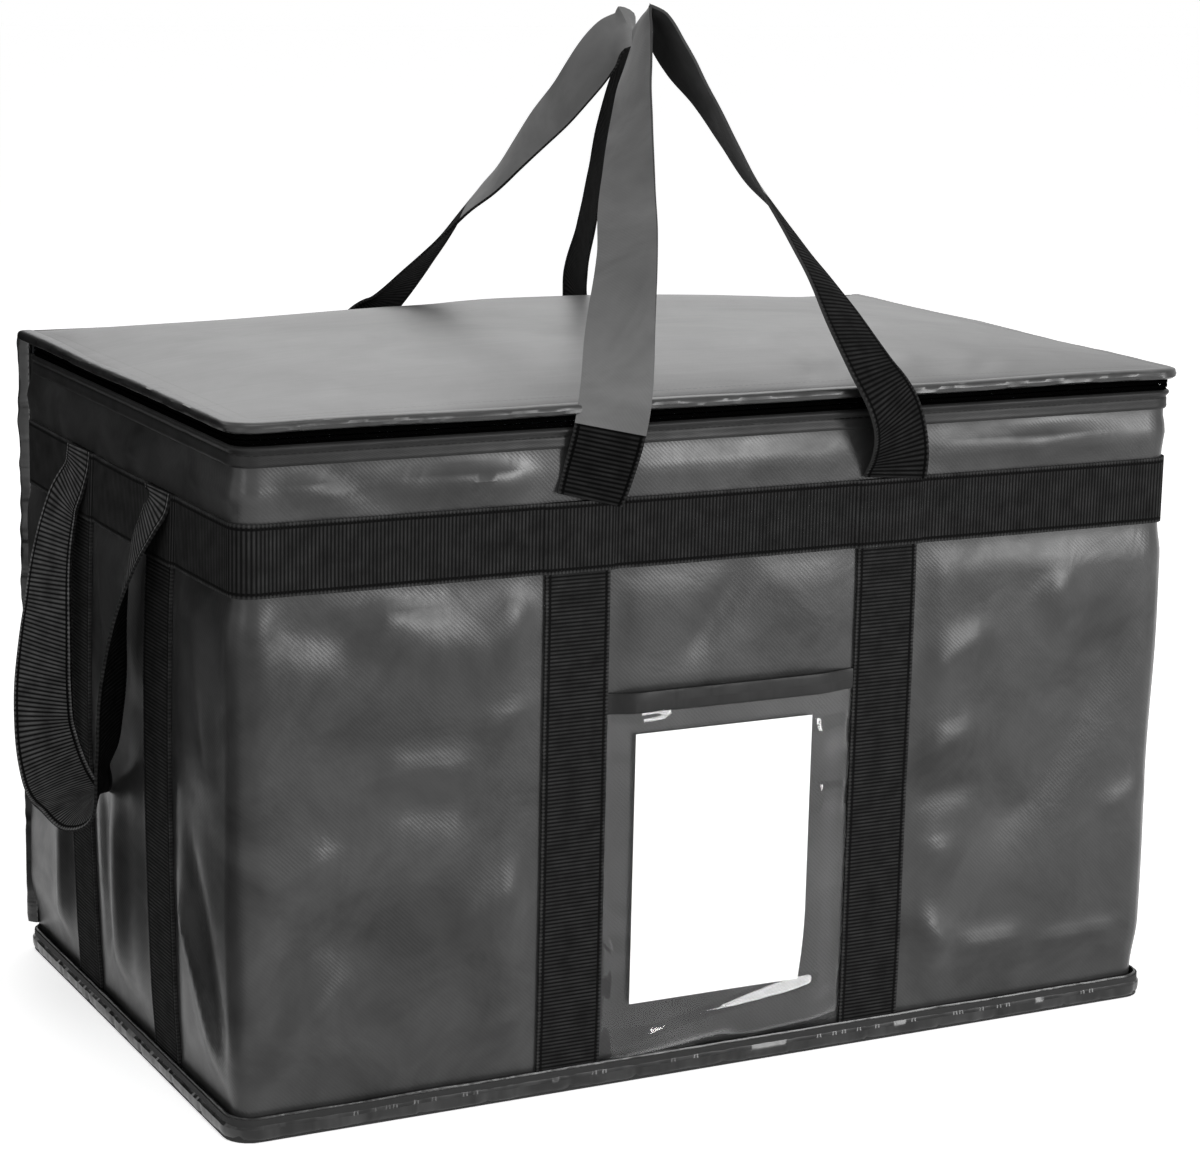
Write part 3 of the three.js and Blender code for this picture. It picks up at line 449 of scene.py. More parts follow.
# The lid's cloth is pulled smooth over its foam, so its highlights are long and even; its colour is a lighter copy of
# the walls' fabric, painted light for the lid's lit top
LID_FABRIC = LidFabric(
    "laminated_lid_fabric", "2c2c2c", 0.36, specular=0.5, light="373737", crumple=0.14, mottle=0.3,
    grain=(9.0, 46.0),
)
# Polypropylene webbing: matt, black, ribbed across, with a painted highlight on each rib's crest and a paler selvedge
WEBBING = RibbedWebbing("ribbed_webbing", "0d0d0d", 0.85, specular=0.03, light="3a3a3a")
# The handles' sewn ends are the same webbing folded double, a little greyer; its near-black base is partly painted
# shade for the legs that turn from the lamps, and it is the painted shade on the back and side loops' inner sides
HANDLE_ENDS_AND_SHADE = RibbedWebbing(
    "ribbed_handle_webbing_and_shade", "050505", 0.85, specular=0.02, light="2f2f2f", pitch=0.0025, rib_depth=0.0006,
)
# The hanging side loops show each rib as a pale line, a painted highlight on its crest
SIDE_WEBBING = RibbedWebbing(
    "ribbed_side_webbing", "0b0b0b", 0.85, specular=0.03, light="6a6a6a", pitch=0.0025, rib_depth=0.0006,
)
# The grip's inner side is the same twill, darker as painted shade for its unlit side
SHADED_HANDLE_TWILL = LaminatedFabric(
    "shaded_handle_twill", "2e2e2e", 0.7, specular=0.1, light="404040", thread=0.0015, crumple=0.4,
)
# The grip is smooth twill: mid grey and dull, and a little crumpled
HANDLE_TWILL = LaminatedFabric(
    "smooth_handle_twill", "565656", 0.6, specular=0.2, light="6c6c6c", thread=0.0015, crumple=0.5,
)
# Calendered binding tape: black and glossy, so each pucker shows as a short light line, partly from its gloss and
# partly painted lighter into its colour
TAPE = BindingTape("glossy_binding_tape", "0a0a0a", 0.30, specular=0.35, thread="3a3a3a")
# The same tape on the corner seams and round the lid, sewn near its inner rim; a little lighter, with stronger
# painted highlights on its creases
SEAM_TAPE = BindingTape(
    "glossy_seam_tape", "101010", 0.30, specular=0.5, light="3c3c3c", row_middle=0.012, row_off=0.0033,
    crease=0.003,
)
# The lid's tape shows its upper row of stitches; it is drawn lighter than the same tape elsewhere, painted light for
# the lid's lit edge
LID_TAPE = BindingTape(
    "glossy_lid_tape", "161616", 0.36, specular=0.45, light="262626", row_middle=0.015, row_off=0.0040,
    thread="0a0a0a",
)
# The pocket's upper edge is bound in the same tape as the walls' grey, flat and dull
POCKET_TAPE = BindingTape(
    "pocket_hem_tape", "111111", 0.45, specular=0.2, light="1a1a1a", row_middle=0.0, row_off=0.0032,
    thread="0a0a0a",
)
# Aluminised film: bright metal, crinkled
FOIL = CrinkledFoil("aluminised_film", "c9ccd0", 0.28, metallic=0.9)
# Plasticised PVC: clear, so that only its highlights are seen
FILM = ClearFilm("clear_pvc", "ffffff", 0.04, metallic=1.0)
# Expanded polyethylene: white and dull
FOAM = Finish("polyethylene_foam", "e6e6e1", 0.9)
# Grey millboard: flat and dull
BOARD = Finish("grey_stiff_board", "5b5b5b", 0.85)
# Uncoated card: bright white and dull
PAPER = Finish("plain_card", "ffffff", 0.8, specular=0.2)
# Knitted zipper tape: black and matt, and drawn near black without reflection as painted shade, so that the gap under
# the lid reads as a dark line
ZIP_CLOTH = Finish("zipper_tape", "020202", 0.95, specular=0.0)
# Spun-bonded cloth on the underside: black and dull
UNDERSIDE_CLOTH = Finish("nonwoven_underside_cloth", "121212", 0.85)
# Nylon coil: drawn near black without reflection as painted shade in the gap under the lid, with a slight painted
# shine on each tooth
ZIP_COIL = CoilTeeth("nylon_coil", "020202", 0.8, specular=0.0)
# Nickel-plated zinc: dark and polished
ZIP_METAL = Finish("dark_nickel", "6f7276", 0.32, metallic=0.95)


def finish_mesh(bm: bmesh.types.BMesh, name: str) -> bpy.types.Object:
    """Turns a bmesh into an object with smooth faces and sharp rims.

    Args:
        bm: the mesh, which is freed.
        name: the object's name.

    Returns:
        The new object, at the origin.
    """
    mesh = bpy.data.meshes.new(name)
    bm.to_mesh(mesh)
    bm.free()
    mesh.shade_smooth()
    mesh.set_sharp_from_angle(angle=math.radians(SHARP_ANGLE))
    made = bpy.data.objects.new(name, mesh)
    bpy.context.scene.collection.objects.link(made)
    return made


def cloth_grid(columns: int, rows: int, span: tuple[float, float], turned: bool = False) -> bmesh.types.BMesh:
    """Makes a flat unit grid that carries the cloth's own measure.

    Args:
        columns: faces across the grid.
        rows: faces up the grid.
        span: the cloth's flat size in metres.
        turned: whether the measure gives the way up before the way across.

    Returns:
        The grid, round the origin.
    """
    bm = bmesh.new()
    bmesh.ops.create_grid(bm, x_segments=columns, y_segments=rows, size=0.5)
    measure = bm.loops.layers.uv.new("cloth")
    for face in bm.faces:
        for loop in face.loops:
            flat = loop.vert.co
            spot = ((flat.x + 0.5) * span[0], (flat.y + 0.5) * span[1])
            loop[measure].uv = spot[::-1] if turned else spot
    return bm


def lay_cloth(
    name: str, columns: int, rows: int, place: Place, span: tuple[float, float], thickness: float,
    turned: bool = False,
) -> bpy.types.Object:
    """Lays a flat grid of cloth over a surface and gives it its thickness on the inner side.

    Args:
        name: the piece's name.
        columns: faces across the grid.
        rows: faces up the grid.
        place: turns shares across and up, 0 to 1, to a point; across then up turn outwards.
        span: the cloth's flat size in metres, for its own measure.
        thickness: the cloth's thickness in metres.
        turned: whether the measure gives the way up before the way across.

    Returns:
        The new object.
    """
    bm = cloth_grid(columns, rows, span, turned)
    for vert in bm.verts:
        vert.co = place(vert.co.x + 0.5, vert.co.y + 0.5)
    return thicken(finish_mesh(bm, name), thickness)


def sweep_tube(
    name: str, columns: int, rows: int, place: Place, span: tuple[float, float], ring: bool = False,
) -> bpy.types.Object:
    """Sweeps a closed section along a path.

    Args:
        name: the piece's name.
        columns: faces along the path.
        rows: faces round the section.
        place: turns shares along the path and round the section to a point.
        span: length along and round, in metres, for the tape's own measure.
        ring: whether the path also closes on itself.

    Returns:
        The new object, with closed ends.
    """
    bm = cloth_grid(columns, rows, span, turned=True)
    for vert in bm.verts:
        vert.co = place(vert.co.x + 0.5, vert.co.y + 0.5)
    bmesh.ops.remove_doubles(bm, verts=bm.verts[:], dist=0.00002)
    if not ring:
        bmesh.ops.holes_fill(bm, edges=rims(bm), sides=0)
    bmesh.ops.recalc_face_normals(bm, faces=bm.faces[:])
    return finish_mesh(bm, name)


def rims(bm: bmesh.types.BMesh) -> list[bmesh.types.BMEdge]:
    """The edges that have a face on one side alone."""
    return [edge for edge in bm.edges if edge.is_boundary]


def plain_box(half_x: float, half_y: float, low: float, top: float) -> bmesh.types.BMesh:
    """Makes a box round the origin from one height to another."""
    bm = bmesh.new()
    bmesh.ops.create_cube(bm, size=1.0)
    bmesh.ops.scale(bm, vec=(2 * half_x, 2 * half_y, top - low), verts=bm.verts[:])
    bmesh.ops.translate(bm, vec=(0, 0, (top + low) / 2), verts=bm.verts[:])
    return bm


def open_top(bm: bmesh.types.BMesh) -> None:
    """Takes a box's upper face away."""
    bmesh.ops.delete(bm, geom=[face for face in bm.faces if face.normal.z > 0.9], context="FACES_ONLY")


def thicken(piece: bpy.types.Object, thickness: float) -> bpy.types.Object:
    """Gives a piece a thickness on its inner side."""
    wall = piece.modifiers.new("thickness", "SOLIDIFY")
    wall.thickness = thickness
    wall.offset = -1.0
    graph = bpy.context.evaluated_depsgraph_get()
    made = bpy.data.meshes.new_from_object(piece.evaluated_get(graph))
    old = piece.data
    piece.modifiers.clear()
    piece.data = made
    bpy.data.meshes.remove(old)
    made.shade_smooth()
    made.set_sharp_from_angle(angle=math.radians(SHARP_ANGLE))
    return piece


def wear(piece: bpy.types.Object, finish: Finish) -> None:
    """Gives a piece one finish in place of any that it has."""
    piece.data.materials.clear()
    piece.data.materials.append(finish.material())


def dress(
    piece: bpy.types.Object, finish: Finish, body: str, replaced: Iterable[str] = (),
) -> bpy.types.Object:
    """Gives a piece its finish, the body it rides on and the CAD nodes it stands for.

    Args:
        piece: the piece.
        finish: its finish.
        body: the CAD body that it moves with, or "" for a piece that rides on none.
        replaced: names of the CAD nodes.

    Returns:
        The same piece.
    """
    wear(piece, finish)
    if body:
        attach(piece, body)
    if replaced:
        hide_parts(*replaced)
    log.info("%s: %d faces, for %s", piece.name, len(piece.data.polygons), ", ".join(replaced) or "no node")
    return piece


def smooth(share: float) -> float:
    """Eases a share from 0 to 1 with flat ends."""
    held = min(1.0, max(0.0, share))
    return held * held * (3 - 2 * held)


def lobe(value: float, power: float) -> float:
    """A sine or cosine made squarer, for a rounded section: its sign stays and its size is bent."""
    return math.copysign(abs(value) ** power, value)


@dataclass(frozen=True)
class Ripple:
    """A steady noise: how high its bumps are, about how wide in metres, and which one it is."""

    height: float
    width: float
    seed: float

    def at(self, x: float, z: float = 0.0, shift: float = 0.0) -> float:
        """Its height at a point; a shift picks another one of the same kind."""
        return self.height * noise.noise(Vector((x / self.width, z / self.width, self.seed + shift)))


@dataclass(frozen=True)
class Fold:
    """A soft fold in the cloth: a ridge, or a furrow where the height is negative."""

    start: tuple[float, float]
    end: tuple[float, float]
    width: float
    height: float

    def lift(self, x: float, z: float) -> float:
        """How far the fold lifts the cloth at a point, fading at its two ends."""
        first, last, spot = Vector(self.start), Vector(self.end), Vector((x, z))
        run = last - first
        share = (spot - first).dot(run) / run.length_squared
        if not -0.1 < share < 1.1:
            return 0.0
        off = (spot - first - run * share).length / self.width
        return self.height * math.exp(-off * off) * smooth(share / 0.3 + 0.33) * smooth((1.1 - share) / 0.4)


def folds_of(*rows: tuple[float, ...]) -> tuple[Fold, ...]:
    """Turns rows of millimetres, which give start, end, width and height, to folds."""
    shrunk = ([number / 1000 for number in row] for row in rows)
    return tuple(Fold((x, z), (far_x, far_z), width, height) for x, z, far_x, far_z, width, height in shrunk)


def walk(run: float, start: Vector, head: Vector, spans: Sequence[float], radius: float) -> tuple[Vector, Vector]:
    """Follows straight runs that are joined by quarter turns to the left.

    Args:
        run: the distance in metres.
        start: where the line starts, at a height of 0.
        head: the direction that it starts in.
        spans: length of each straight run.
        radius: radius of the turns.

    Returns:
        The point there and the outward direction, which is on the right hand.
    """
    point, reach, arc = start, run, math.pi / 2 * radius
    for number, span in enumerate(spans):
        out = Vector((head.y, -head.x, 0))
        if reach <= span or number == len(spans) - 1:
            break
        centre, reach = point + head * span - out * radius, reach - span
        if reach <= arc:
            turned = Matrix.Rotation(reach / radius, 3, "Z") @ out
            return centre + turned * radius, turned
        point, head, reach = centre + head * radius, Vector((-head.y, head.x, 0)), reach - arc
    return point + head * reach, out


@dataclass(frozen=True)
class OpenLine:
    """A line round the left, front and right of a rectangle whose two front corners are rounded."""

    half_x: float = HALF_WIDTH
    front: float = HALF_DEPTH
    rear: float = HALF_DEPTH
    radius: float = FRONT_RADIUS

    @property
    def side_run(self) -> float:
        """Straight length of a side."""
        return self.front + self.rear - self.radius

    @property
    def arc(self) -> float:
        """Length round a front corner."""
        return math.pi / 2 * self.radius

    @property
    def front_run(self) -> float:
        """Straight length of the front."""
        return 2 * (self.half_x - self.radius)

    @property
    def total(self) -> float:
        """Whole length of the line."""
        return 2 * (self.side_run + self.arc) + self.front_run

    def spot(self, run: float) -> tuple[Vector, Vector]:
        """The point and the outward direction at a distance from the left side's rear end."""
        spans = (self.side_run, self.front_run, self.side_run)
        return walk(run, Vector((-self.half_x, self.rear, 0)), Vector((0, -1, 0)), spans, self.radius)


@dataclass(frozen=True)
class WallPath(OpenLine):
    """The line round the left, front and right walls, measured from the left wall's rear corner.

    A fold's first number is the distance along this line from the front wall's middle, so the left wall
    runs from -0.292 at the front to -0.626 at the back.
    """

    bow: float = 0.005
    bow_low: float = 0.0165
    bow_high: float = 0.3525
    # the cloth is held at the walls' foot and head and at the back's ends, and comes free over these lengths
    foot: float = 0.016
    foot_ease: float = 0.03
    head: float = 0.353
    head_ease: float = 0.012
    side_ease: float = 0.03
    # under webbing a share of the slack is left, which grows to all of it over these lengths
    sewn_share: float = 0.2
    strap_ease: float = 0.022
    band_ease: float = 0.02
    # behind the pocket the cloth lies flatter, and above it the card needs room to slide up
    pocket_half: float = 0.077
    pocket_top: float = 0.222
    pocket_share: float = 0.35
    card_low: float = 0.19
    card_half: float = 0.066
    card_room: float = 0.0030
    card_ease: float = 0.004
    loose: float = 0.0008
    fold_gain: float = 1.25
    swell: Ripple = Ripple(0.0024, 0.110, 3.1)
    crumple: Ripple = Ripple(0.0003, 0.045, 8.7)
    back_swell: Ripple = Ripple(0.0014, 0.085, 21.0)
    back_crumple: Ripple = Ripple(0.0007, 0.034, 27.0)
    folds: tuple[Fold, ...] = folds_of(
        (-280.5, 330, -280.5, 352, 4.5, 1), (-270, 276, -215, 262, 13, -3), (-250, 286, -196, 281, 9, 2),
        (-215, 276, -165, 247, 14, 2.4), (-165, 247, -117, 272, 13, 2.2), (-152, 210, -116, 219, 6, 1.4),
        (-212, 193, -155, 186, 10, 2.2), (-200, 172, -150, 168, 12, -1.8), (-168, 104, -118, 122, 14, 2.4),
        (-275, 132, -232, 152, 10, 2), (-268, 115, -215, 104, 13, -2), (-289, 12, -228, 86, 9, 2.6),
        (-288, 10, -251, 106, 8, -2.2), (-286, 10, -190, 52, 9, -2), (-160, 30, -116, 48, 8, 1.8),
        (-262, 351, -222, 331, 7, 1.8), (-243, 351, -196, 331, 7, -2), (-176, 350, -126, 332, 8, 1.8),
        (8, 288, -32, 232, 11, -3), (-68, 262, -30, 272, 12, 2), (14, 290, 34, 262, 6, 2),
        (70, 240, 30, 266, 12, 1.8), (118, 212, 168, 236, 10, 2.2), (118, 164, 160, 178, 9, 2),
        (118, 140, 165, 148, 10, -1.8), (118, 112, 150, 104, 7, 1.6), (255, 236, 168, 104, 22, -3.4),
        (205, 262, 225, 232, 12, 2.4), (118, 70, 152, 46, 9, 3.4), (152, 46, 206, 47, 10, 2.4),
        (180, 16, 208, 40, 7, 2.4), (208, 40, 278, 44, 9, 2), (120, 18, 126, 60, 6, -1.8),
        (252, 118, 283, 132, 8, 1.4), (176, 332, 236, 350, 10, 1), (200, 331, 268, 346, 9, -1),
        (-292, 14, -366, 130, 9, 2.8), (-294, 20, -345, 160, 9, -2.2), (-452, 30, -446, 160, 12, 3.6),
        (-478, 40, -474, 150, 9, -2.6), (-560, 20, -552, 150, 11, 3.2), (-596, 90, -582, 250, 10, -3),
        (-430, 286, -412, 210, 12, 3), (-500, 286, -486, 200, 12, -2.8), (-330, 280, -312, 190, 10, 2.2),
        (-440, 350, -420, 330, 10, 1.8), (-540, 350, -570, 331, 10, 1.8), (300, 20, 372, 140, 10, 2.6),
        (450, 30, 462, 170, 12, 3), (560, 30, 548, 180, 12, -2.6), (440, 284, 420, 200, 12, 2.6),
    )

    def front_at(self, x: float) -> float:
        """Distance along the line at which the front wall reaches x."""
        return self.side_run + self.arc + x + HALF_WIDTH - FRONT_RADIUS

    def free(self, off: float, strap: float, z: float) -> float:
        """How freely the cloth hangs beside a strap and the band: a share under them, all away from them.

        Args:
            off: distance from the wall's middle.
            strap: distance of the strap's middle from the wall's middle.
            z: height.

        Returns:
            The share.
        """
        gaps = (
            (abs(abs(off) - strap) - WEBBING_WIDTH / 2) / self.strap_ease,
            (abs(z - (BAND_LOW + BAND_TOP) / 2) - WEBBING_WIDTH / 2) / self.band_ease,
        )
        return math.prod(self.sewn_share + (1 - self.sewn_share) * smooth(gap) for gap in gaps)

    def sewn_down(self, run: float, z: float) -> float:
        """How freely the cloth of the front and side walls hangs, for the webbing and pocket sewn over it."""
        x = run - self.front_at(0.0)
        corner = HALF_WIDTH - FRONT_RADIUS + self.arc
        if abs(x) >= corner:
            return self.free(abs(x) - corner - HALF_DEPTH + FRONT_RADIUS, SIDE_STRAP_CENTRE, z)
        behind = abs(x) < self.pocket_half and z < self.pocket_top
        return self.free(x, FRONT_STRAP_CENTRE, z) * (self.pocket_share if behind else 1.0)

    def held(self, z: float) -> float:
        """0 where the cloth is held at its foot and head, and 1 between them."""
        return smooth((z - self.foot) / self.foot_ease) * smooth((self.head - z) / self.head_ease)

    def room(self, run: float, z: float) -> float:
        """The most that the cloth may stand off: little above the pocket, where its card slides up."""
        x = abs(run - self.front_at(0.0))
        if z < self.card_low or x > self.pocket_half:
            return 1.0
        return self.card_room + self.card_ease * smooth((x - self.card_half) / (self.pocket_half - self.card_half))

    def slack(self, run: float, z: float) -> float:
        """How far the loose cloth stands off its flat place: slow swells and a few folds."""
        swell = self.swell.height + self.swell.at(run, z) + self.crumple.at(run * 1.5, z)
        x = run - self.front_at(0.0)
        creased = self.fold_gain * sum(fold.lift(x, z) for fold in self.folds)
        stand_off = self.held(z) * self.sewn_down(run, z) * (swell + self.loose + creased)
        room = self.room(run, z)
        return room * (1 - math.exp(-stand_off / room)) if stand_off > 0 else 0.0

    def rear_slack(self, x: float, z: float) -> float:
        """How far the back panel's loose cloth stands off its flat place."""
        held = self.held(z) * smooth((HALF_WIDTH - abs(x)) / self.side_ease)
        swell = self.back_swell.height + self.back_swell.at(x, z) + self.back_crumple.at(x * 1.5, z)
        return max(0.0, held * self.free(x, FRONT_STRAP_CENTRE, z) * swell)

    def at(self, run: float, stand_off: float, z: float) -> Vector:
        """A point off the wall's cloth, following its bow and its dents."""
        point, out = self.spot(run)
        along = max(0.0, 1 - (point.y / (HALF_DEPTH - FRONT_RADIUS)) ** 2) if abs(out.x) == 1 else 0.0
        share = (z - self.bow_low) / (self.bow_high - self.bow_low)
        bowed = self.bow * along * (math.sin(math.pi * share) if 0 < share < 1 else 0.0)
        return Vector((point.x, point.y, z)) + out * (stand_off + bowed + self.slack(run, z))


PATH = WallPath()


@dataclass(frozen=True)
class WallFabric:
    """The laminated fabric: one piece round the front and sides, and the back panel."""

    low: float = 0.0018
    top: float = 0.366
    thickness: float = 0.0012
    start: float = 0.0008
    back_inset: float = 0.0006

    def build(self) -> None:
        """Makes both panels."""
        run = PATH.total - 2 * self.start

        def wrapped(across: float, up: float) -> Vector:
            """Turns shares of the front and side panel to a point."""
            return PATH.at(self.start + run * across, 0.0, self.low + (self.top - self.low) * up)

        wrap = lay_cloth("wall_wrap", 250, 74, wrapped, (run, self.top - self.low), self.thickness)
        dress(wrap, WALL_FABRIC, "bag", ["outer_wrap"])

        width = 2 * (HALF_WIDTH - self.back_inset)

        def backed(across: float, up: float) -> Vector:
            """Turns shares of the back panel to a point."""
            z = self.low + (self.top - self.low) * up
            x = width * (0.5 - across)
            return Vector((x, HALF_DEPTH + PATH.rear_slack(x, z), z))

        back = lay_cloth("wall_back", 110, 74, backed, (width, self.top - self.low), self.thickness)
        dress(back, WALL_FABRIC, "bag", ["back_skin"])


@dataclass(frozen=True)
class Underside:
    """The bottom panel with its turned-up edge, and the glossy tape bound over that edge."""

    half_x: float = 0.291
    half_y: float = 0.177
    radius: float = 0.015
    edge_top: float = 0.0123
    thickness: float = 0.0015
    tape_centre: float = 0.00425
    tape_reach: float = 0.00205
    tape_low: float = 0.0012
    tape_high: float = 0.0135
    tuck_pitch: float = 0.047
    tuck_width: float = 0.0016
    tuck_depth: float = 0.0011
    pucker: Ripple = Ripple(0.0006, 0.012, 5.0)
    wrinkle: Ripple = Ripple(0.0004, 0.005, 9.0)
    wave: Ripple = Ripple(0.0006, 0.045, 7.0)

    def build(self) -> None:
        """Makes the panel and its tape."""
        bm = plain_box(self.half_x, self.half_y, 0.0, self.edge_top)
        uprights = [edge for edge in bm.edges if abs(edge.verts[0].co.z - edge.verts[1].co.z) > 0.001]
        bmesh.ops.bevel(
            bm, geom=uprights, offset=self.radius, segments=6, profile=0.5, affect="EDGES", material=-1,
        )
        open_top(bm)
        bmesh.ops.solidify(bm, geom=bm.faces[:], thickness=self.thickness)
        bmesh.ops.recalc_face_normals(bm, faces=bm.faces[:])
        dress(finish_mesh(bm, "bottom_panel"), UNDERSIDE_CLOTH, "bag", ["bottom_skin"])

        half_x, half_y = HALF_WIDTH + self.tape_centre, HALF_DEPTH + self.tape_centre
        side, front = 2 * (half_y - self.radius), 2 * (half_x - self.radius)
        spans = (front / 2, side, front, side, front / 2)
        length = sum(spans) + 2 * math.pi * self.radius

        def taped(along: float, around: float) -> Vector:
            """Turns shares along the tape and round its section to a point."""
            run = along * length
            point, out = walk(run, Vector((0, half_y, 0)), Vector((-1, 0, 0)), spans, self.radius)
            offset, z = self.section(around)
            rolled = 1 - smooth((z - self.tape_low) / 0.007)
            pucker = self.pucker.at(run, around * 0.05) + self.wrinkle.at(run) - self.tuck(run)
            outer = smooth((offset + 0.0005) / 0.001) * (0.4 + 0.6 * rolled)
            lift = self.wave.at(run) * (1 - rolled)
            return point + out * (offset + pucker * outer) + Vector((0, 0, z + max(-0.0004, lift)))

        tape = sweep_tube("bottom_tape", 900, 24, taped, (length, 0.034), ring=True)
        dress(tape, TAPE, "bag", ["bottom_binding"])

    def tuck(self, run: float) -> float:
        """How far the tape is pinched in at the uneven tucks that its maker left."""
        number = math.floor(run / self.tuck_pitch)
        place = (number + 0.5 + 0.35 * noise.noise(Vector((number * 1.7, 4.0, 0.0)))) * self.tuck_pitch
        off = (run - place) / self.tuck_width
        return self.tuck_depth * math.exp(-off * off)

    def section(self, around: float) -> tuple[float, float]:
        """A point of the tape's section, from 0 to 1 round it: a fat roll below and a thin flange above."""
        angle = 2 * math.pi * around
        high = 0.5 + 0.5 * lobe(math.sin(angle), 0.7)
        z = self.tape_low + (self.tape_high - self.tape_low) * high
        fat = 1 - 0.55 * smooth((high - 0.50) / 0.22)
        lean = -0.0008 * smooth((high - 0.50) / 0.22)
        return self.tape_reach * fat * lobe(math.cos(angle), 0.6) + lean, z


@dataclass(frozen=True)
class CornerSeam:
    """The taped seam that stands out along a back corner, puckered by its stitching."""

    side: Side
    node: str
    low: float = 0.0145
    top: float = 0.3765
    reach: float = 0.0085
    half_thick: float = 0.0024
    tucked: float = 0.0012
    squareness: float = 0.55
    pucker: Ripple = Ripple(0.0013, 0.020, 13.0)
    wrinkle: Ripple = Ripple(0.0008, 0.008, 17.0)
    crush: Ripple = Ripple(0.0009, 0.013, 23.0)
    sway: Ripple = Ripple(0.0018, 0.050, 19.0)

    def build(self) -> None:
        """Makes the seam's tape."""
        sign = self.side.value
        corner = Vector((sign * HALF_WIDTH, HALF_DEPTH, 0))
        out = Vector((sign, 1, 0)).normalized()
        across = Vector((-out.y, out.x, 0))

        def taped(along: float, around: float) -> Vector:
            """Turns shares up the seam and round its section to a point."""
            z = self.low + (self.top - self.low) * along
            angle = 2 * math.pi * around
            deep = self.reach / 2 * (1 + lobe(math.cos(angle), self.squareness)) - self.tucked
            wide = self.half_thick * lobe(math.sin(angle), self.squareness)
            outer = smooth(deep / self.reach)
            pucker = self.pucker.at(z, shift=sign) + self.wrinkle.at(z)
            bent = self.sway.at(z, shift=sign) + self.crush.at(z, around, sign)
            spot = Vector((corner.x, corner.y, z)) + out * (deep + outer * pucker)
            return spot + across * (wide + outer * bent)

        tape = sweep_tube(f"{self.node}_tape", 240, 16, taped, (self.top - self.low, 0.024))
        dress(tape, SEAM_TAPE, "", [self.node])
        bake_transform(tape)


@dataclass(frozen=True)
class RimHem:
    """The doubled hem round the mouth, with a ridge along each edge."""

    low: float = 0.3555
    top: float = 0.3665
    near: float = 0.0011
    thick: float = 0.0017
    rear_gap: float = 0.012
    face_share: float = 0.75
    face_thick: float = 0.35
    least_thick: float = 0.05
    # place up the hem, width and height of its bead, its sewn groove and the bead at its foot, as shares
    ridges: tuple[tuple[float, float, float], ...] = ((0.86, 0.13, 0.75), (0.62, 0.07, -0.35), (0.10, 0.10, 0.15))
    pucker: Ripple = Ripple(0.0003, 0.014, 31.0)

    def profile(self, share: float) -> float:
        """How thick the hem's face is at a share of its height, as a share of its full thickness."""
        ridged = sum(height * math.exp(-((share - place) / width) ** 2) for place, width, height in self.ridges)
        return max(self.least_thick, self.face_thick + ridged - 0.6 * abs(2 * share - 1) ** 10)

    def build(self) -> None:
        """Makes the hem."""
        run = PATH.total - 2 * self.rear_gap

        def hemmed(along: float, around: float) -> Vector:
            """Turns shares along the hem and round its section to a point."""
            where = self.rear_gap + run * along
            if around < self.face_share:
                share = around / self.face_share
                z = self.low + (self.top - self.low) * share
                return PATH.at(where, self.near + self.thick * self.profile(share) + self.pucker.at(where, z), z)
            share = (around - self.face_share) / (1 - self.face_share)
            return PATH.at(where, self.near, self.top - (self.top - self.low) * share)

        hem = sweep_tube("rim_hem_cloth", 420, 24, hemmed, (run, 0.032))
        dress(hem, HEM_FABRIC, "bag", ["rim_hem"])


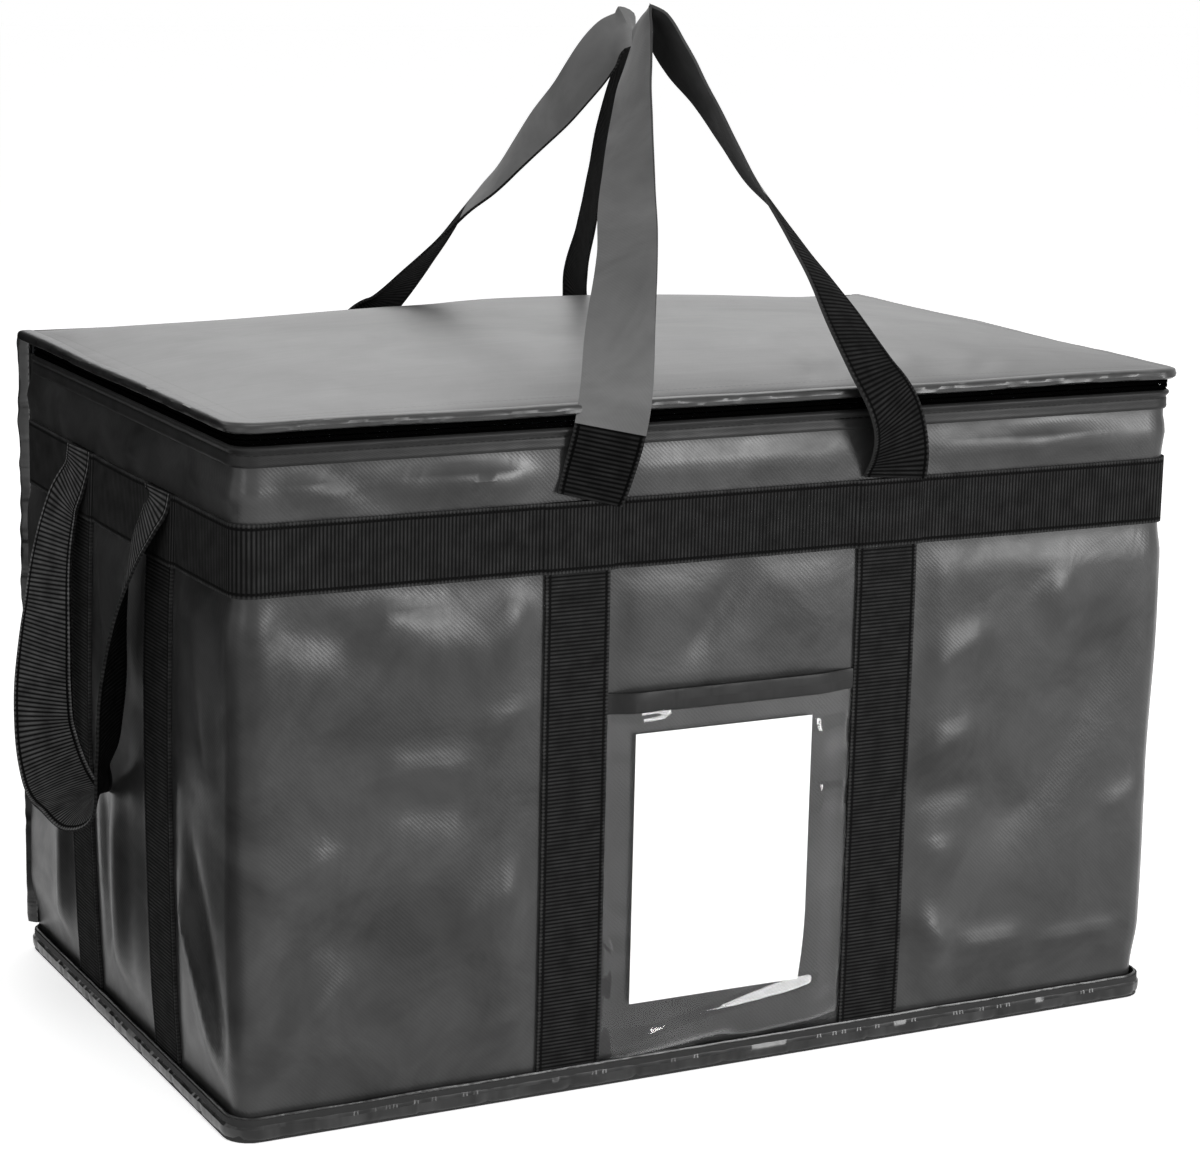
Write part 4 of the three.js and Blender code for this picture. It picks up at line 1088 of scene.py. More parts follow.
@dataclass(frozen=True)
class WallWebbing:
    """The band round the walls and the straps that run down from it."""

    strap_low: float = 0.0021
    climb: float = 0.004
    band_end: float = 0.005

    def band_lift(self, along: Optional[float], centre: float) -> float:
        """How far the band's back stands off the wall: it climbs over each strap."""
        if along is None:
            return STRAP_STAND_OFF
        beyond = abs(abs(along) - centre) - WEBBING_WIDTH / 2
        over = 1 - smooth(beyond / self.climb) if beyond > 0 else 1.0
        return STRAP_STAND_OFF + over * (WEBBING_THICKNESS + STRAP_STAND_OFF)

    def build(self) -> None:
        """Makes both bands and all eight straps."""
        run = PATH.total - 2 * self.band_end

        def banded(across: float, up: float) -> Vector:
            """Turns shares along the front and side band to a point."""
            where = self.band_end + run * across
            point, out = PATH.spot(where)
            if abs(out.x) == 1:
                lift = self.band_lift(point.y, SIDE_STRAP_CENTRE)
            else:
                lift = self.band_lift(point.x if abs(out.y) == 1 else None, FRONT_STRAP_CENTRE)
            return PATH.at(where, lift + WEBBING_THICKNESS, BAND_LOW + WEBBING_WIDTH * up)

        size = (run, WEBBING_WIDTH)
        band = lay_cloth("front_band_webbing", 420, 6, banded, size, WEBBING_THICKNESS, turned=True)
        dress(band, WEBBING, "bag", ["front_band"])

        reach = HALF_WIDTH - self.band_end

        def backed(across: float, up: float) -> Vector:
            """Turns shares along the back band to a point."""
            x = reach * (1 - 2 * across)
            lift = self.band_lift(x, FRONT_STRAP_CENTRE) + WEBBING_THICKNESS
            z = BAND_LOW + WEBBING_WIDTH * up
            return Vector((x, HALF_DEPTH + lift + PATH.rear_slack(x, z), z))

        size = (2 * reach, WEBBING_WIDTH)
        back = lay_cloth("back_band_webbing", 220, 6, backed, size, WEBBING_THICKNESS, turned=True)
        dress(back, WEBBING, "bag", ["back_band"])
        for side in Side:
            sign, word = side.value, side.name.lower()
            self.strap(f"front_{word}_strap", Wall.FRONT, sign * FRONT_STRAP_CENTRE)
            self.strap(f"back_{word}_strap", Wall.BACK, sign * FRONT_STRAP_CENTRE)
            wall = Wall.LEFT if side is Side.LEFT else Wall.RIGHT
            self.strap(f"{word}_front_strap", wall, -SIDE_STRAP_CENTRE)
            self.strap(f"{word}_rear_strap", wall, SIDE_STRAP_CENTRE)

    def strap(self, node: str, wall: Wall, centre: float) -> None:
        """Makes one strap.

        Args:
            node: the CAD node that it stands for.
            wall: the wall that it runs down.
            centre: its middle along that wall.
        """
        length = BAND_TOP - self.strap_low
        lift = STRAP_STAND_OFF + WEBBING_THICKNESS

        def strapped(across: float, up: float) -> Vector:
            """Turns shares of the strap to a point."""
            off = (across - 0.5) * WEBBING_WIDTH
            z = self.strap_low + length * up
            if wall is Wall.FRONT:
                return PATH.at(PATH.front_at(centre + off), lift, z)
            if wall is Wall.BACK:
                return Vector((centre - off, HALF_DEPTH + lift + PATH.rear_slack(centre - off, z), z))
            if wall is Wall.LEFT:
                return PATH.at(HALF_DEPTH - centre + off, lift, z)
            return PATH.at(PATH.total - HALF_DEPTH + centre + off, lift, z)

        strap = lay_cloth(f"{node}_webbing", 8, 60, strapped, (WEBBING_WIDTH, length), WEBBING_THICKNESS)
        dress(strap, WEBBING, "bag", [node])


@dataclass(frozen=True)
class Pocket:
    """The clear pocket between the front straps, with its dark upper hem and a plain card."""

    half: float = 0.0767
    low: float = 0.0021
    top: float = 0.2197
    stand_off: float = 0.0040
    thickness: float = 0.0006
    side_rise: tuple[float, float] = (0.0155, 0.026)
    bottom_rise: tuple[float, float] = (0.010, 0.024)
    hem_low: float = 0.209
    hem_top: float = 0.2208
    hem_squareness: float = 0.4
    card_left: float = -0.060
    card_right: float = 0.050
    card_low: float = 0.044
    card_top: float = 0.197
    card_front: float = -0.1758
    card_thickness: float = 0.0004
    # the film lies this far off the wall, may dip by less, and creases only inside its seams
    seat: float = 0.0006
    dip: float = 0.0004
    seam_ease: float = 0.004
    crease_low: float = 0.010
    crease_ease: float = 0.008
    wave: Ripple = Ripple(0.0006, 0.060, 41.0)
    hem_pucker: Ripple = Ripple(0.0002, 0.012, 47.0)
    folds: tuple[Fold, ...] = folds_of(
        (-130, 12, 100, 42, 11, 4.2), (4, 17, 88, 25, 7, 4.2), (-64, 0, -58, 90, 50, 5),
        (-80, 100, -60, 92, 6, 2.2), (-80, 78, -58, 74, 6, 2.2), (-80, 56, -54, 60, 7, 2.4),
        (46, 184, 80, 187, 10, 2.8), (52, 150, 80, 148, 9, 2.4), (-78, 203, -36, 204.5, 4.8, 2.1),
        (-80, 182, -62, 180, 5, 1.8),
    )

    def bulge(self, x: float, z: float) -> float:
        """How far the window stands off the wall: sewn down at its sides and bottom."""
        foot = (z - self.bottom_rise[0]) / (self.bottom_rise[1] - self.bottom_rise[0])
        side = min((self.half + x) / self.side_rise[0], (self.half - x) / self.side_rise[1])
        full = smooth(side) * smooth(foot)
        waved = max(-self.dip, self.wave.at(x, z) * full)
        creased = max(0.0, sum(fold.lift(x, z) for fold in self.folds))
        inside = smooth((self.half - abs(x)) / self.seam_ease) * smooth((z - self.crease_low) / self.crease_ease)
        return self.seat + self.stand_off * full + waved + inside * creased

    def build(self) -> None:
        """Makes the window, its hem and the card."""
        height = self.top - self.low

        def windowed(across: float, up: float) -> Vector:
            """Turns shares of the window to a point."""
            x, z = self.half * (2 * across - 1), self.low + height * up
            return Vector((x, -HALF_DEPTH - self.bulge(x, z) - self.thickness - self.rest(x, z), z))

        window = lay_cloth("pocket_film", 110, 160, windowed, (2 * self.half, height), self.thickness)
        dress(window, FILM, "bag", ["pocket_window"])

        def hemmed(along: float, around: float) -> Vector:
            """Turns shares along the hem and round its section to a point."""
            x = self.half * (2 * along - 1)
            angle = 2 * math.pi * around
            middle, half = (self.hem_low + self.hem_top) / 2, (self.hem_top - self.hem_low) / 2
            pucker = self.hem_pucker.at(x, around)
            roll = 0.0004 + 0.0008 * lobe(math.cos(angle), self.hem_squareness)
            off = self.bulge(x, self.top) + roll + self.rest(x, self.top) + pucker
            return Vector((x, -HALF_DEPTH - off, middle + half * lobe(math.sin(angle), self.hem_squareness)))

        hem = sweep_tube("pocket_hem_tape", 90, 16, hemmed, (2 * self.half, 0.026))
        dress(hem, POCKET_TAPE, "bag", ["pocket_hem"])
        self.card()

    def card(self) -> None:
        """Makes the card, whose lower right corner curls a little forward."""
        wide, tall = self.card_right - self.card_left, self.card_top - self.card_low

        def carded(across: float, up: float) -> Vector:
            """Turns shares of the card to a point."""
            x, z = self.card_left + wide * across, self.card_low + tall * up
            curl = max(0.0, across - 0.75 + 0.45 * max(0.0, 0.35 - up))
            lean = 0.012 * max(0.0, 0.30 - up) ** 2 * across
            return Vector((x - lean * 3.2, self.card_front - min(0.0004, 0.004 * curl * curl), z))

        card = lay_cloth("plain_white_card", 22, 30, carded, (wide, tall), self.card_thickness)
        dress(card, PAPER, "card", ["label_card"])

    def rest(self, x: float, z: float) -> float:
        """How far the wall's cloth behind the pocket stands out, so that the film clears it."""
        return max(0.0, PATH.slack(PATH.front_at(x), z))


@dataclass(frozen=True)
class Turn:
    """A station of a handle: where its middle runs, and how it is turned as the camera sees it.

    The angle is 0 where the outer face shows at full width, 90 where the webbing is on edge, and 180
    where the inner face shows at full width.
    """

    x: float
    y: float
    z: float
    angle: float


def turns_of(*rows: tuple[float, float, float, float]) -> tuple[Turn, ...]:
    """Turns rows of millimetres and degrees to stations."""
    return tuple(Turn(*row) for row in rows)


@dataclass(frozen=True)
class Handle:
    """A loop of webbing that twists between its two sewn ends."""

    node: str
    turns: tuple[Turn, ...]
    pivot: Vector
    ribbed: tuple[float, float]
    ends: Finish = HANDLE_ENDS_AND_SHADE
    # the webbing's inner side: a darker finish that is painted shade
    lining: Finish = HANDLE_ENDS_AND_SHADE
    mirrored: bool = False
    curl: float = 0.0010
    wrinkle: Ripple = Ripple(0.0006, 0.026, 51.0)
    root_above: float = 0.0005
    root_bend: float = 0.012
    hanging_below: float = 300.0

    def stations(self) -> tuple[list[Vector], list[Vector], list[float]]:
        """The middle of the webbing, its width direction and the run at each station."""
        centres = [Vector((turn.x, turn.y, turn.z)) / 1000 for turn in self.turns]
        widths: list[Vector] = []
        runs = [0.0]
        for number, (centre, turn) in enumerate(zip(centres, self.turns)):
            if number:
                runs.append(runs[-1] + (centre - centres[number - 1]).length)
            ahead, behind = centres[min(number + 1, len(centres) - 1)], centres[max(number - 1, 0)]
            along = (ahead - behind).normalized()
            back = (CAMERA_SPOT - centre).normalized()
            wide, edge = along.cross(back).normalized(), (back - along * along.dot(back)).normalized()
            angle = math.radians(turn.angle)
            widths.append(wide * math.cos(angle) + edge * math.sin(angle))
        if self.mirrored:
            centres = [Vector((-centre.x, centre.y, centre.z)) for centre in centres]
            widths = [Vector((width.x, -width.y, -width.z)) for width in widths]
        return centres, widths, runs

    def build(self) -> None:
        """Makes the loop and splits its faces between the twill, the ribbed ends and the painted-shade inner side."""
        centres, widths, runs = self.stations()
        length = runs[-1]

        def follow(run: float) -> tuple[Vector, Vector]:
            """The middle of the webbing and its width direction at a distance along it."""
            held = min(length, max(0.0, run))
            part = max(number for number, knot in enumerate(runs[:-1]) if knot <= held + 1e-9)
            share = (held - runs[part]) / (runs[part + 1] - runs[part])
            return between(centres, runs, part, share), between(widths, runs, part, share)

        def laid(across: float, up: float) -> Vector:
            """Turns shares across and along the webbing to a point."""
            run = up * length
            spot, turned = follow(run)
            along = (follow(run + 0.005)[0] - follow(run - 0.005)[0]).normalized()
            turned = (turned - along * turned.dot(along)).normalized()
            out = turned.cross(along)
            off = across - 0.5
            free = math.sin(math.pi * up)
            sag = self.curl * (1 - 4 * off * off) * free
            wrinkle = free * self.wrinkle.at(run, off * WEBBING_WIDTH, len(self.node))
            return spot + turned * (off * WEBBING_WIDTH) + out * (WEBBING_THICKNESS / 2 + sag + wrinkle)

        columns, rows = 10, 300
        loop = lay_cloth(f"{self.node}_loop", columns, rows, laid, (WEBBING_WIDTH, length), WEBBING_THICKNESS)
        dress(loop, HANDLE_TWILL, "", [self.node])
        for finish in (self.ends, self.lining):
            loop.data.materials.append(finish.material())
        measure = loop.data.uv_layers.active.data
        for face in loop.data.polygons:
            run = sum(measure[number].uv[1] for number in face.loop_indices) / face.loop_total
            # the thickened inner side's faces take the painted-shade finish
            if face.index >= columns * rows:
                face.material_index = 2
            elif run < self.ribbed[0] or run > length - self.ribbed[1]:
                face.material_index = 1
        low = self.pivot + Vector((0, 0, self.root_above))
        low + Vector((0, 0, self.bend))
        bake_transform(loop)

    @property
    def bend(self) -> float:
        """Length of a bend for the sewn root, downwards on a hanging loop; nothing applies it to the loop."""
        hangs = min(turn.z for turn in self.turns) < self.hanging_below
        return -self.root_bend if hangs else self.root_bend


def between(knots: list[Vector], runs: list[float], part: int, share: float) -> Vector:
    """A smooth curve through knots that lie at uneven distances.

    Args:
        knots: the points, or directions, that it runs through.
        runs: the distance at each of them.
        part: the number of the stretch.
        share: how far along that stretch, 0 to 1.

    Returns:
        The point or direction there.
    """
    stretch = runs[part + 1] - runs[part]
    slopes = []
    for number in (part, part + 1):
        before, after = max(0, number - 1), min(len(knots) - 1, number + 1)
        slopes.append((knots[after] - knots[before]) * (stretch / (runs[after] - runs[before])))
    square, cube = share * share, share ** 3
    return (
        knots[part] * (2 * cube - 3 * square + 1) + slopes[0] * (cube - 2 * square + share)
        + knots[part + 1] * (3 * square - 2 * cube) + slopes[1] * (cube - square)
    )


FRONT_LOOP = turns_of(
    (-91, -175.4, 327.5, -26), (-89, -177, 336, -18), (-85, -183.5, 362, -8), (-81, -183, 384, 4),
    (-67, -159, 413, 16), (-45, -123, 454, 34), (-36, -104, 476, 37), (-19, -73, 513, 53), (-5, -50, 539, 64),
    (4.5, -37, 556, 74), (9.5, -30.5, 566, 82), (12.5, -28, 571, 90), (15.5, -29.5, 571.5, 101),
    (18, -35, 564, 116), (24, -45, 549, 118), (32, -57, 532, 109), (38, -75, 511, 104), (44.5, -93, 489, 98),
    (54, -110, 469, 88), (61, -126, 450, 82), (67, -140, 434, 75), (73, -157, 413, 63), (79, -175, 391, 54),
    (86, -184, 375, 47), (94, -183, 358, 43), (98, -179, 340, 36), (98, -175.4, 327.5, 28),
)
BACK_LOOP = turns_of(
    (-96, 175.4, 327.5, 153), (-90, 178, 345, 142), (-72, 184, 370, 126), (-55, 180, 386, 116),
    (-42, 159, 411, 104), (-33, 143, 430, 96), (-29, 135, 440, 88), (-22, 122, 454, 82), (-13, 111, 467, 77),
    (-1, 89, 494, 64), (10, 71, 515, 55), (19, 51, 539, 48), (24, 39, 552, 50), (29, 31, 560.5, 60),
    (33, 29.5, 562, 74), (37, 34, 556, 90), (40, 46, 541, 101), (44, 70, 514, 106), (51, 97, 483, 107),
    (59, 124, 451, 106), (68, 153, 418, 106), (79, 180, 388, 114), (88, 183, 370, 140), (95, 178, 343, 185),
    (96, 175.4, 327.5, 207),
)
LEFT_LOOP = turns_of(
    (-290.4, 66, 327.3, -71), (-291.2, 66, 320, -70), (-293, 68, 310, -68), (-298, 74, 294, -62),
    (-305, 74, 264, -55), (-309, 71, 232, -46), (-311, 74, 192, -33), (-311, 73, 166, -28), (-311, 62, 148, -15),
    (-312, 43, 139, 8), (-312, 18, 136, 36), (-312, -8, 140, 62), (-312, -30, 154, 88), (-312, -43, 180, 106),
    (-311, -49, 216, 110), (-308, -53, 257, 98), (-301, -58, 292, 82), (-294, -64, 312, 74), (-291.2, -66, 320, 71),
    (-290.4, -66, 327.3, 70),
)


@dataclass(frozen=True)
class Lid:
    """The padded lid: a domed cover, its foil lining, the rolled tape round its edge and the hinge's fold."""

    half_x: float = 0.289
    front: float = 0.175
    rear: float = 0.176
    corner: float = 0.013
    edge_top: float = 0.3781
    edge_low: float = 0.3756
    crown: float = 0.0172
    under_crown: float = 0.0098
    front_rise: float = 0.130
    rear_rise: float = 0.060
    fall_power: float = 1.7
    swell: float = 0.0036
    slack_share: float = 0.86
    frames: int = 20
    dent: Ripple = Ripple(0.0004, 0.20, 61.0)
    grain: Ripple = Ripple(0.00008, 0.030, 67.0)
    crinkle: Ripple = Ripple(0.0004, 0.02, 71.0)
    pucker: Ripple = Ripple(0.0005, 0.02, 81.0)
    wrinkle: Ripple = Ripple(0.0002, 0.009, 83.0)
    wave: Ripple = Ripple(0.0008, 0.09, 87.0)
    under_level: float = 0.3750
    fold_half: float = 0.2862
    fold_low: float = 0.3655
    fold_height: float = 0.0130
    tape_reach: float = 0.0031
    tape_centre: float = 0.37605
    tape_leg: float = 0.0085
    folds: tuple[Fold, ...] = folds_of(
        (-50, 120, 150, 110, 9, 1), (-10, 85, 190, 70, 8, 1), (30, 145, 240, 140, 8, 1.2),
        (20, 40, 160, 20, 10, -0.8), (90, 165, 270, 155, 6, 1), (-280, 168, -190, 100, 12, 1),
        (-282, 160, -220, 50, 12, -1), (40, -165, 90, -110, 12, -1.4), (70, -168, 150, -120, 12, 1.2),
        (150, -168, 200, -120, 10, -1), (-60, -20, 0, -60, 10, 0.8), (-120, 30, -60, 12, 6, 0.5),
        (-20, 104, 120, 100, 3, 0.5), (20, 126, 200, 124, 3, 0.6), (60, 92, 230, 86, 3, 0.5),
        (0, 60, 110, 52, 3, 0.4), (100, 40, 220, 34, 4, 0.4),
    )

    def share(self, x: float, y: float) -> float:
        """Share of the crown at a point: a quick rise from front and back, and a slow one from the sides."""
        held = min(1.0, max(0.0, min((self.front + y) / self.front_rise, (self.rear - y) / self.rear_rise)))
        lengthwise = max(0.0, 1 - abs(x / self.half_x) ** self.fall_power)
        return (1 - (1 - held) ** 2) * lengthwise

    def outline(self, across: float, up: float) -> tuple[float, float]:
        """Turns shares of the lid to x and y, drawn in at its rounded front corners."""
        x, y = self.half_x * (2 * across - 1), -self.front + (self.front + self.rear) * up
        near = self.corner - (y + self.front)
        if near > 0:
            cut = self.corner - math.sqrt(max(0.0, self.corner ** 2 - near ** 2))
            x *= (self.half_x - cut) / self.half_x
        return x, y

    def build(self) -> None:
        """Makes the cover, lining, tape and fold."""
        cover = self.cover()
        self.simulate(cover)
        dress(cover, LID_FABRIC, "lid", ["lid_skin", "lid_foam"])
        self.lining()
        self.tape()
        self.fold()

    def cover(self) -> bpy.types.Object:
        """The padded cover before it is simulated: top and underside joined round the edge."""
        crown = self.crown * self.slack_share

        def topped(across: float, up: float) -> Vector:
            """Turns shares of the cover's top to a point."""
            x, y = self.outline(across, up)
            lift = self.share(x, y)
            edge = min(self.half_x - abs(x), self.front + y, self.rear - y)
            puff = 0.0008 * smooth(edge / 0.006)
            held = smooth((edge - 0.006) / 0.02)
            dent = self.dent.at(x, y * 1.3) + self.grain.at(x * 0.3, y * 1.8)
            creased = sum(fold.lift(x, y) for fold in self.folds)
            return Vector((x, y, self.edge_top + crown * lift + puff + held * (dent + creased)))

        bm = cloth_grid(132, 82, (2 * self.half_x, self.front + self.rear))
        copied = bmesh.ops.duplicate(bm, geom=bm.verts[:] + bm.edges[:] + bm.faces[:])["geom"]
        below = {item for item in copied if isinstance(item, bmesh.types.BMVert)}
        for vert in bm.verts:
            spot = topped(vert.co.x + 0.5, vert.co.y + 0.5)
            if vert in below:
                spot.z = self.edge_low + self.under_crown * self.share(spot.x, spot.y)
            vert.co = spot
        bmesh.ops.reverse_faces(bm, faces=[item for item in copied if isinstance(item, bmesh.types.BMFace)])
        bmesh.ops.bridge_loops(bm, edges=rims(bm))
        bmesh.ops.recalc_face_normals(bm, faces=bm.faces[:])
        return finish_mesh(bm, "lid_cover")

    def simulate(self, cover: bpy.types.Object) -> None:
        """Lets the slack cover swell over its foam, sewn all round, and keeps each point near its place.

        Args:
            cover: the padded cover, whose mesh is changed.
        """
        rest = [vert.co.copy() for vert in cover.data.vertices]
        sewn = cover.vertex_groups.new(name="sewn")
        middle = (self.edge_top + self.edge_low) / 2
        for number, spot in enumerate(rest):
            foam = self.edge_low + self.under_crown * self.share(spot.x, spot.y)
            edge = min(self.half_x - abs(spot.x), self.front + spot.y, self.rear - spot.y)
            fixed = spot.z < foam + 0.0005 or edge < 0.009 or spot.z < middle
            sewn.add([number], 1.0 if fixed else 0.0, "REPLACE")
        settings = cover.modifiers.new("cloth", "CLOTH").settings
        settings.quality, settings.mass, settings.bending_stiffness = 6, 0.25, 1.5
        settings.use_pressure, settings.uniform_pressure_force = True, 4.0
        settings.vertex_group_mass, settings.effector_weights.gravity = "sewn", 0.0
        scene = bpy.context.scene
        for number in range(1, self.frames + 1):
            scene.frame_set(number)
        graph = bpy.context.evaluated_depsgraph_get()
        swollen = [vert.co.copy() for vert in cover.evaluated_get(graph).data.vertices]
        cover.modifiers.clear()
        scene.frame_set(1)
        moved = 0.0
        for vert, before, after in zip(cover.data.vertices, rest, swollen):
            step = after - before
            moved = max(moved, step.length)
            if step.length > self.swell:
                step = step.normalized() * self.swell
            vert.co = before + step
        log.info("lid_cover: the cloth moved by up to %.1f mm before it was held back", moved * 1000)

    def lining(self) -> None:
        """Makes the foil under the lid."""
        def lined(across: float, up: float) -> Vector:
            """Turns shares of the lining to a point."""
            x, y = self.outline(across, up)
            lift = self.share(x, y)
            crinkle = self.crinkle.at(x, y) * lift * lift
            return Vector((x, y, self.under_level + self.under_crown * lift + crinkle))

        lining = lay_cloth("lid_lining", 90, 56, lined, (2 * self.half_x, self.front + self.rear), 0.0005)
        dress(lining, FOIL, "lid", ["lid_liner"])

    def tape(self) -> None:
        """Makes the tape rolled round the lid's left, front and right edges."""
        edge = OpenLine(self.half_x, self.front, self.rear, self.corner)
        far = edge.side_run + edge.front_run

        def taped(along: float, around: float) -> Vector:
            """Turns shares along the tape and round its section to a point."""
            run = along * edge.total
            point, out = edge.spot(run)
            angle = 2 * math.pi * around
            wide = (self.tape_reach + self.tape_leg) / 2
            offset = self.tape_reach - wide + wide * lobe(math.cos(angle), 0.8)
            high = self.tape_reach * lobe(math.sin(angle), 0.6)
            rough = 1.0 + 0.8 * smooth((run - far + 0.05) / 0.1)
            pucker = rough * (self.pucker.at(run, around) + self.wrinkle.at(run, around))
            return point + out * (offset + pucker) + Vector((0, 0, self.tape_centre + high + self.wave.at(run)))

        tape = sweep_tube("lid_edge_tape", 520, 20, taped, (edge.total, 0.030))
        dress(tape, LID_TAPE, "lid", ["lid_binding"])

    def fold(self) -> None:
        """Makes the cloth that turns from the back wall into the lid and bends as its hinge."""
        def folded(across: float, up: float) -> Vector:
            """Turns shares of the fold to a point."""
            y = 0.1725 + 0.0052 * math.sin(math.pi / 2 * min(1.0, up * 1.25))
            return Vector((self.fold_half * (1 - 2 * across), y, self.fold_low + self.fold_height * up))

        fold = lay_cloth("hinge_fold", 90, 10, folded, (2 * self.fold_half, 0.0145), 0.0011)
        dress(fold, LID_FABRIC, "", ["lid_fold"])
        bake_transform(fold)


@dataclass(frozen=True)
class Interior:
    """What shows when the lid is open: the foil tub, whose rim turns out over the foam."""

    half_x: float = 0.2785
    half_y: float = 0.1645
    rim_x: float = 0.2845
    rim_y: float = 0.1705
    low: float = 0.0079
    top: float = 0.3652
    radius: float = 0.010
    thickness: float = 0.0005
    crinkle: Ripple = Ripple(0.0009, 0.025, 91.0)

    def build(self) -> None:
        """Makes the foil tub."""
        bm = plain_box(self.half_x, self.half_y, self.low, self.top)
        open_top(bm)
        kept = [edge for edge in bm.edges if not edge.is_boundary]
        bmesh.ops.bevel(bm, geom=kept, offset=self.radius, segments=3, profile=0.5, affect="EDGES", material=-1)
        bmesh.ops.subdivide_edges(bm, edges=bm.edges[:], cuts=12, use_grid_fill=True)
        for vert in bm.verts:
            rim = smooth((self.top - vert.co.z) / 0.02)
            crinkle = rim * self.crinkle.at(vert.co.x + vert.co.y, vert.co.z)
            vert.co -= Vector((vert.co.x, vert.co.y, 0)).normalized() * max(0.0, crinkle)
        turned = bmesh.ops.extrude_edge_only(bm, edges=rims(bm))["geom"]
        for vert in (item for item in turned if isinstance(item, bmesh.types.BMVert)):
            vert.co.x *= self.rim_x / self.half_x
            vert.co.y *= self.rim_y / self.half_y
        bmesh.ops.recalc_face_normals(bm, faces=bm.faces[:])
        floor = min(bm.faces, key=lambda face: face.calc_center_median().z)
        if floor.normal.z < 0:
            bmesh.ops.reverse_faces(bm, faces=bm.faces[:])
        tub = thicken(finish_mesh(bm, "foil_tub"), self.thickness)
        dress(tub, FOIL, "bag", ["foil_liner"])


@dataclass(frozen=True)
class ZipperTapes:
    """The zipper's two cloth tapes: one sewn behind the hem, one under the lid's edge."""

    rear_gap: float = 0.014
    low: float = 0.3565
    top: float = 0.3674
    lid_level: float = 0.3728
    lid_inner: float = -0.0030
    lid_outer: float = 0.0016
    thickness: float = 0.0006

    def build(self) -> None:
        """Makes both tapes."""
        run = PATH.total - 2 * self.rear_gap

        def upright(across: float, up: float) -> Vector:
            """Turns shares of the walls' tape to a point."""
            where = self.rear_gap + run * across
            return PATH.at(where, 0.0009, self.low + (self.top - self.low) * up)

        lower = lay_cloth("wall_zipper_tape", 330, 4, upright, (run, self.top - self.low), self.thickness)
        dress(lower, ZIP_CLOTH, "bag", ["zip_tape_body"])

        def flat(across: float, up: float) -> Vector:
            """Turns shares of the lid's tape to a point."""
            point, out = PATH.spot(self.rear_gap + run * across)
            off = self.lid_outer + (self.lid_inner - self.lid_outer) * up
            return point + out * off + Vector((0, 0, self.lid_level))

        upper = lay_cloth("lid_zipper_tape", 330, 2, flat, (run, self.lid_outer - self.lid_inner), self.thickness)
        dress(upper, ZIP_CLOTH, "lid", ["zip_tape_lid"])


# CAD nodes that are shown as they are
CARRIED = {
    FOAM: ("foam_front", "foam_back", "foam_left", "foam_right", "foam_bottom"),
    BOARD: ("base_board",),
    ZIP_COIL: ("zip_coil_body", "zip_coil_lid"),
    ZIP_METAL: ("zip_stop_left", "zip_stop_right", "zip_slider", "zip_pull"),
}


def dress_carried() -> None:
    """Gives the CAD nodes that are carried over their finishes."""
    for finish, names in CARRIED.items():
        for name in names:
            wear(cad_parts[name], finish)


@dataclass(frozen=True)
class Lamp:
    """A soft box: where it stands, what it faces, its size and its power."""

    name: str
    spot: tuple[float, float, float]
    target: tuple[float, float, float]
    size: float
    power: float


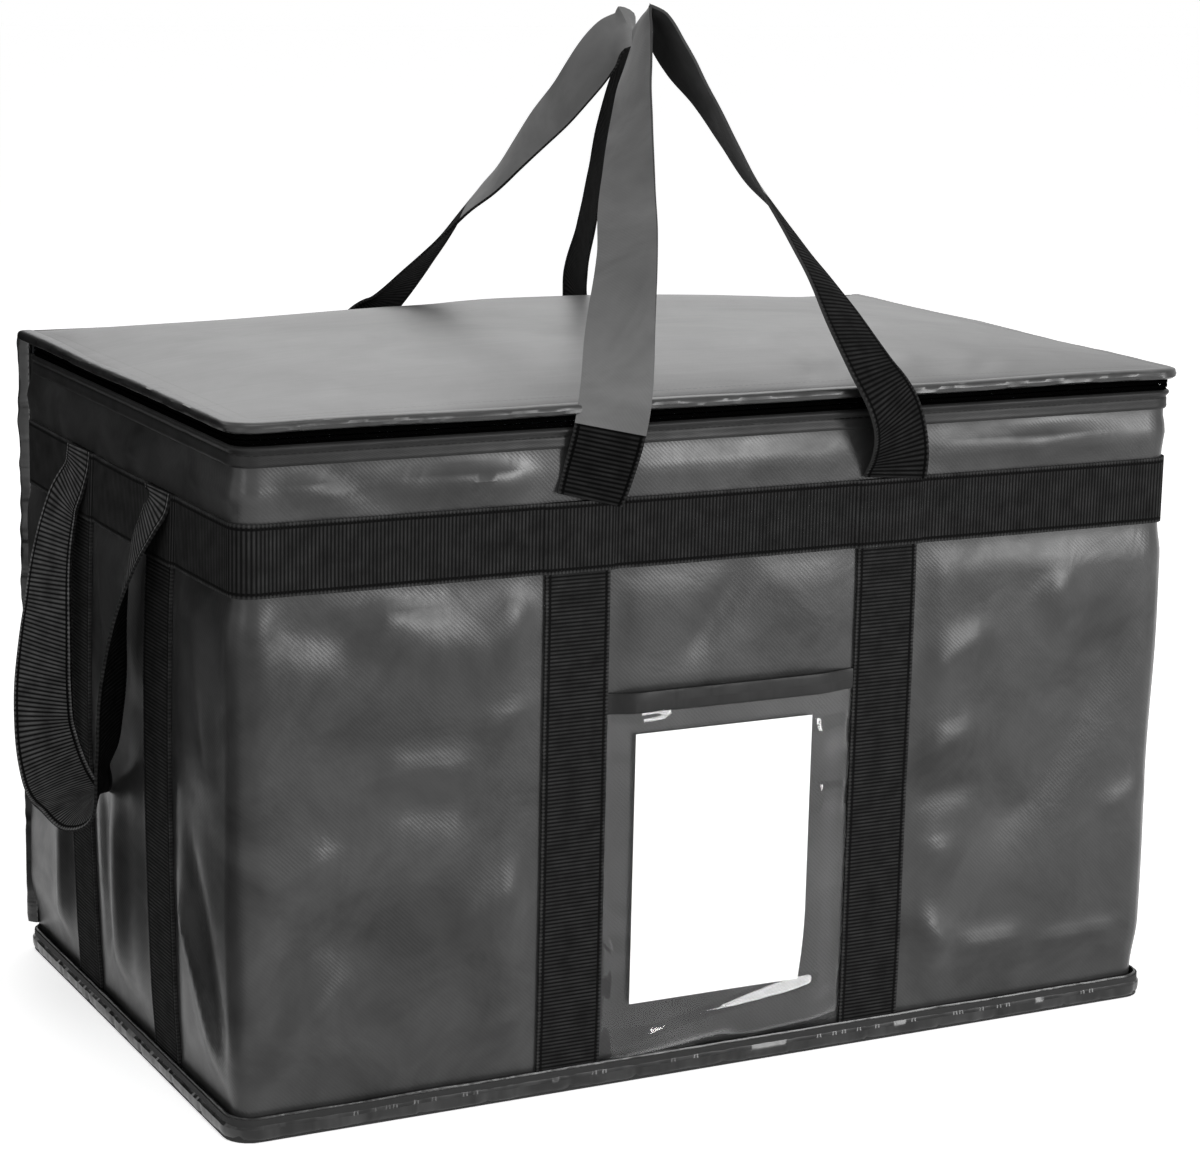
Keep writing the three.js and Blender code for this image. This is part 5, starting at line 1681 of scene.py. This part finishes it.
@dataclass
class Studio:
    """The floor, the backdrop, the lamps and the camera."""

    lamps: list[Lamp] = field(default_factory=lambda: [
        Lamp("front_right_softbox", (1.5, -2.5, 0.65), (0.0, 0.0, 0.2), 0.8, 50.0),
        Lamp("left_softbox", (-2.0, -1.5, 0.8), (-0.2, 0.0, 0.2), 1.0, 8.0),
        Lamp("overhead_softbox", (-0.2, -0.9, 2.6), (0.0, 0.0, 0.3), 1.6, 26.0),
        Lamp("rear_softbox", (0.85, 2.1, 1.9), (0.0, 0.0, 0.38), 1.8, 13.0),
    ])
    surround: float = 0.42
    floor_glow: float = 0.6

    def build(self) -> None:
        """Makes everything round the object."""
        self.floor()
        self.black_cards()
        self.world()
        for lamp in self.lamps:
            light = bpy.data.lights.new(lamp.name, "AREA")
            light.energy, light.size = lamp.power, lamp.size
            made = bpy.data.objects.new(lamp.name, light)
            made.location = lamp.spot
            made.rotation_euler = (Vector(lamp.target) - Vector(lamp.spot)).to_track_quat("-Z", "Y").to_euler()
            bpy.context.scene.collection.objects.link(made)
        self.camera()

    def floor(self) -> None:
        """Lays a wide pale floor that looks white and keeps the object's shadow."""
        bm = bmesh.new()
        bmesh.ops.create_grid(bm, x_segments=2, y_segments=2, size=12.0)
        floor = finish_mesh(bm, "studio_floor")
        floor.data.transform(Matrix.Translation((0, 0, -0.0005)))
        material = bpy.data.materials.new("white_paper_floor")
        material.use_nodes = True
        tree = material.node_tree
        shader = tree.nodes["Principled BSDF"]
        shader.inputs["Base Color"].default_value = linear("f2f2f2")
        shader.inputs["Roughness"].default_value = 0.9
        shader.inputs["Specular IOR Level"].default_value = 0.1
        graph = Graph(tree)
        none, glow = (graph.add("Emission", {"Strength": strength}) for strength in (0.0, self.floor_glow))
        lift = graph.add("MixShader", {0: self.seen(graph), 1: none, 2: glow})
        both = graph.add("AddShader", {0: shader.outputs[0], 1: lift})
        tree.links.new(both, tree.nodes["Material Output"].inputs["Surface"])
        floor.data.materials.append(material)

    def black_cards(self) -> None:
        """Sets black cards behind on the left, which only reflections show: they keep the left wall dark."""
        upright = Matrix.Rotation(math.radians(27.5), 4, "Z") @ Matrix.Rotation(math.radians(90), 4, "X")
        lying = Matrix.Identity(4)
        places = {
            "studio_upright_card": ((-0.60, 0.50, 0.36), upright, (1.0, 0.7, 1, 1)),
            "studio_lying_card": ((-0.82, 0.02, 0.001), lying, (0.9, 0.7, 1, 1)),
        }
        for name, (spot, turn, size) in places.items():
            bm = bmesh.new()
            bmesh.ops.create_grid(bm, x_segments=2, y_segments=2, size=0.5)
            card = finish_mesh(bm, name)
            card.data.transform(Matrix.Translation(spot) @ turn @ Matrix.Diagonal(size))
            card.data.materials.append(Finish("black_card", "040404", 0.95, specular=0.0).material())
            card.visible_camera = card.visible_diffuse = card.visible_shadow = False

    def seen(self, graph: Graph) -> Socket:
        """1 for rays that show the background: the camera's, and those off or through something glossy."""
        kinds = ("Is Camera Ray", "Is Glossy Ray", "Is Transmission Ray")
        camera, glossy, through = (graph.add("LightPath", {}, out=kind) for kind in kinds)
        return graph.maths("MAXIMUM", graph.maths("MAXIMUM", camera, glossy), through)

    def world(self) -> None:
        """Fills the studio with even light and shows white behind the object."""
        world = bpy.data.worlds.new("studio")
        bpy.context.scene.world = world
        world.use_nodes = True
        tree = world.node_tree
        graph = Graph(tree)
        back = tree.nodes["Background"].inputs
        back["Color"].default_value = (1.0, 1.0, 1.0, 1.0)
        tree.links.new(graph.spread(self.seen(graph), 0.0, 1.0, self.surround, 1.0), back["Strength"])

    def camera(self) -> None:
        """Stands the camera where the photograph was taken from."""
        lens = bpy.data.cameras.new("camera")
        lens.lens, lens.sensor_width, lens.sensor_fit = 94.9, 36.0, "HORIZONTAL"
        lens.clip_start, lens.clip_end = 0.05, 60.0
        made = bpy.data.objects.new("camera", lens)
        turned = Matrix((CAMERA_RIGHT, CAMERA_UP, CAMERA_BACK)).transposed().to_4x4()
        made.matrix_world = Matrix.Translation(CAMERA_SPOT) @ turned
        bpy.context.scene.collection.objects.link(made)
        bpy.context.scene.camera = made
        bpy.context.scene.view_settings.view_transform = "Standard"


def main() -> None:
    """Builds the studio, then each sub-assembly in the order that the bag is sewn."""
    logging.basicConfig(level=logging.INFO, format="%(name)s: %(message)s")
    Studio().build()
    Interior().build()
    ZipperTapes().build()
    WallFabric().build()
    Underside().build()
    CornerSeam(Side.LEFT, "back_left_binding").build()
    CornerSeam(Side.RIGHT, "back_right_binding").build()
    RimHem().build()
    WallWebbing().build()
    Pocket().build()
    Handle("front_handle", FRONT_LOOP, Vector((0, -0.1751, 0.3273)), (0.041, 0.182), lining=SHADED_HANDLE_TWILL).build()
    Handle("back_handle", BACK_LOOP, Vector((0, 0.1751, 0.3273)), (0.165, 0.052)).build()
    sides = {"ends": SIDE_WEBBING, "lining": HANDLE_ENDS_AND_SHADE}
    Handle("left_handle", LEFT_LOOP, Vector((-0.2903, 0, 0.3273)), (2.0, 0.0), **sides).build()
    Handle("right_handle", LEFT_LOOP, Vector((0.2903, 0, 0.3273)), (2.0, 0.0), mirrored=True, **sides).build()
    Lid().build()
    dress_carried()


if __name__ == "__main__":
    main()
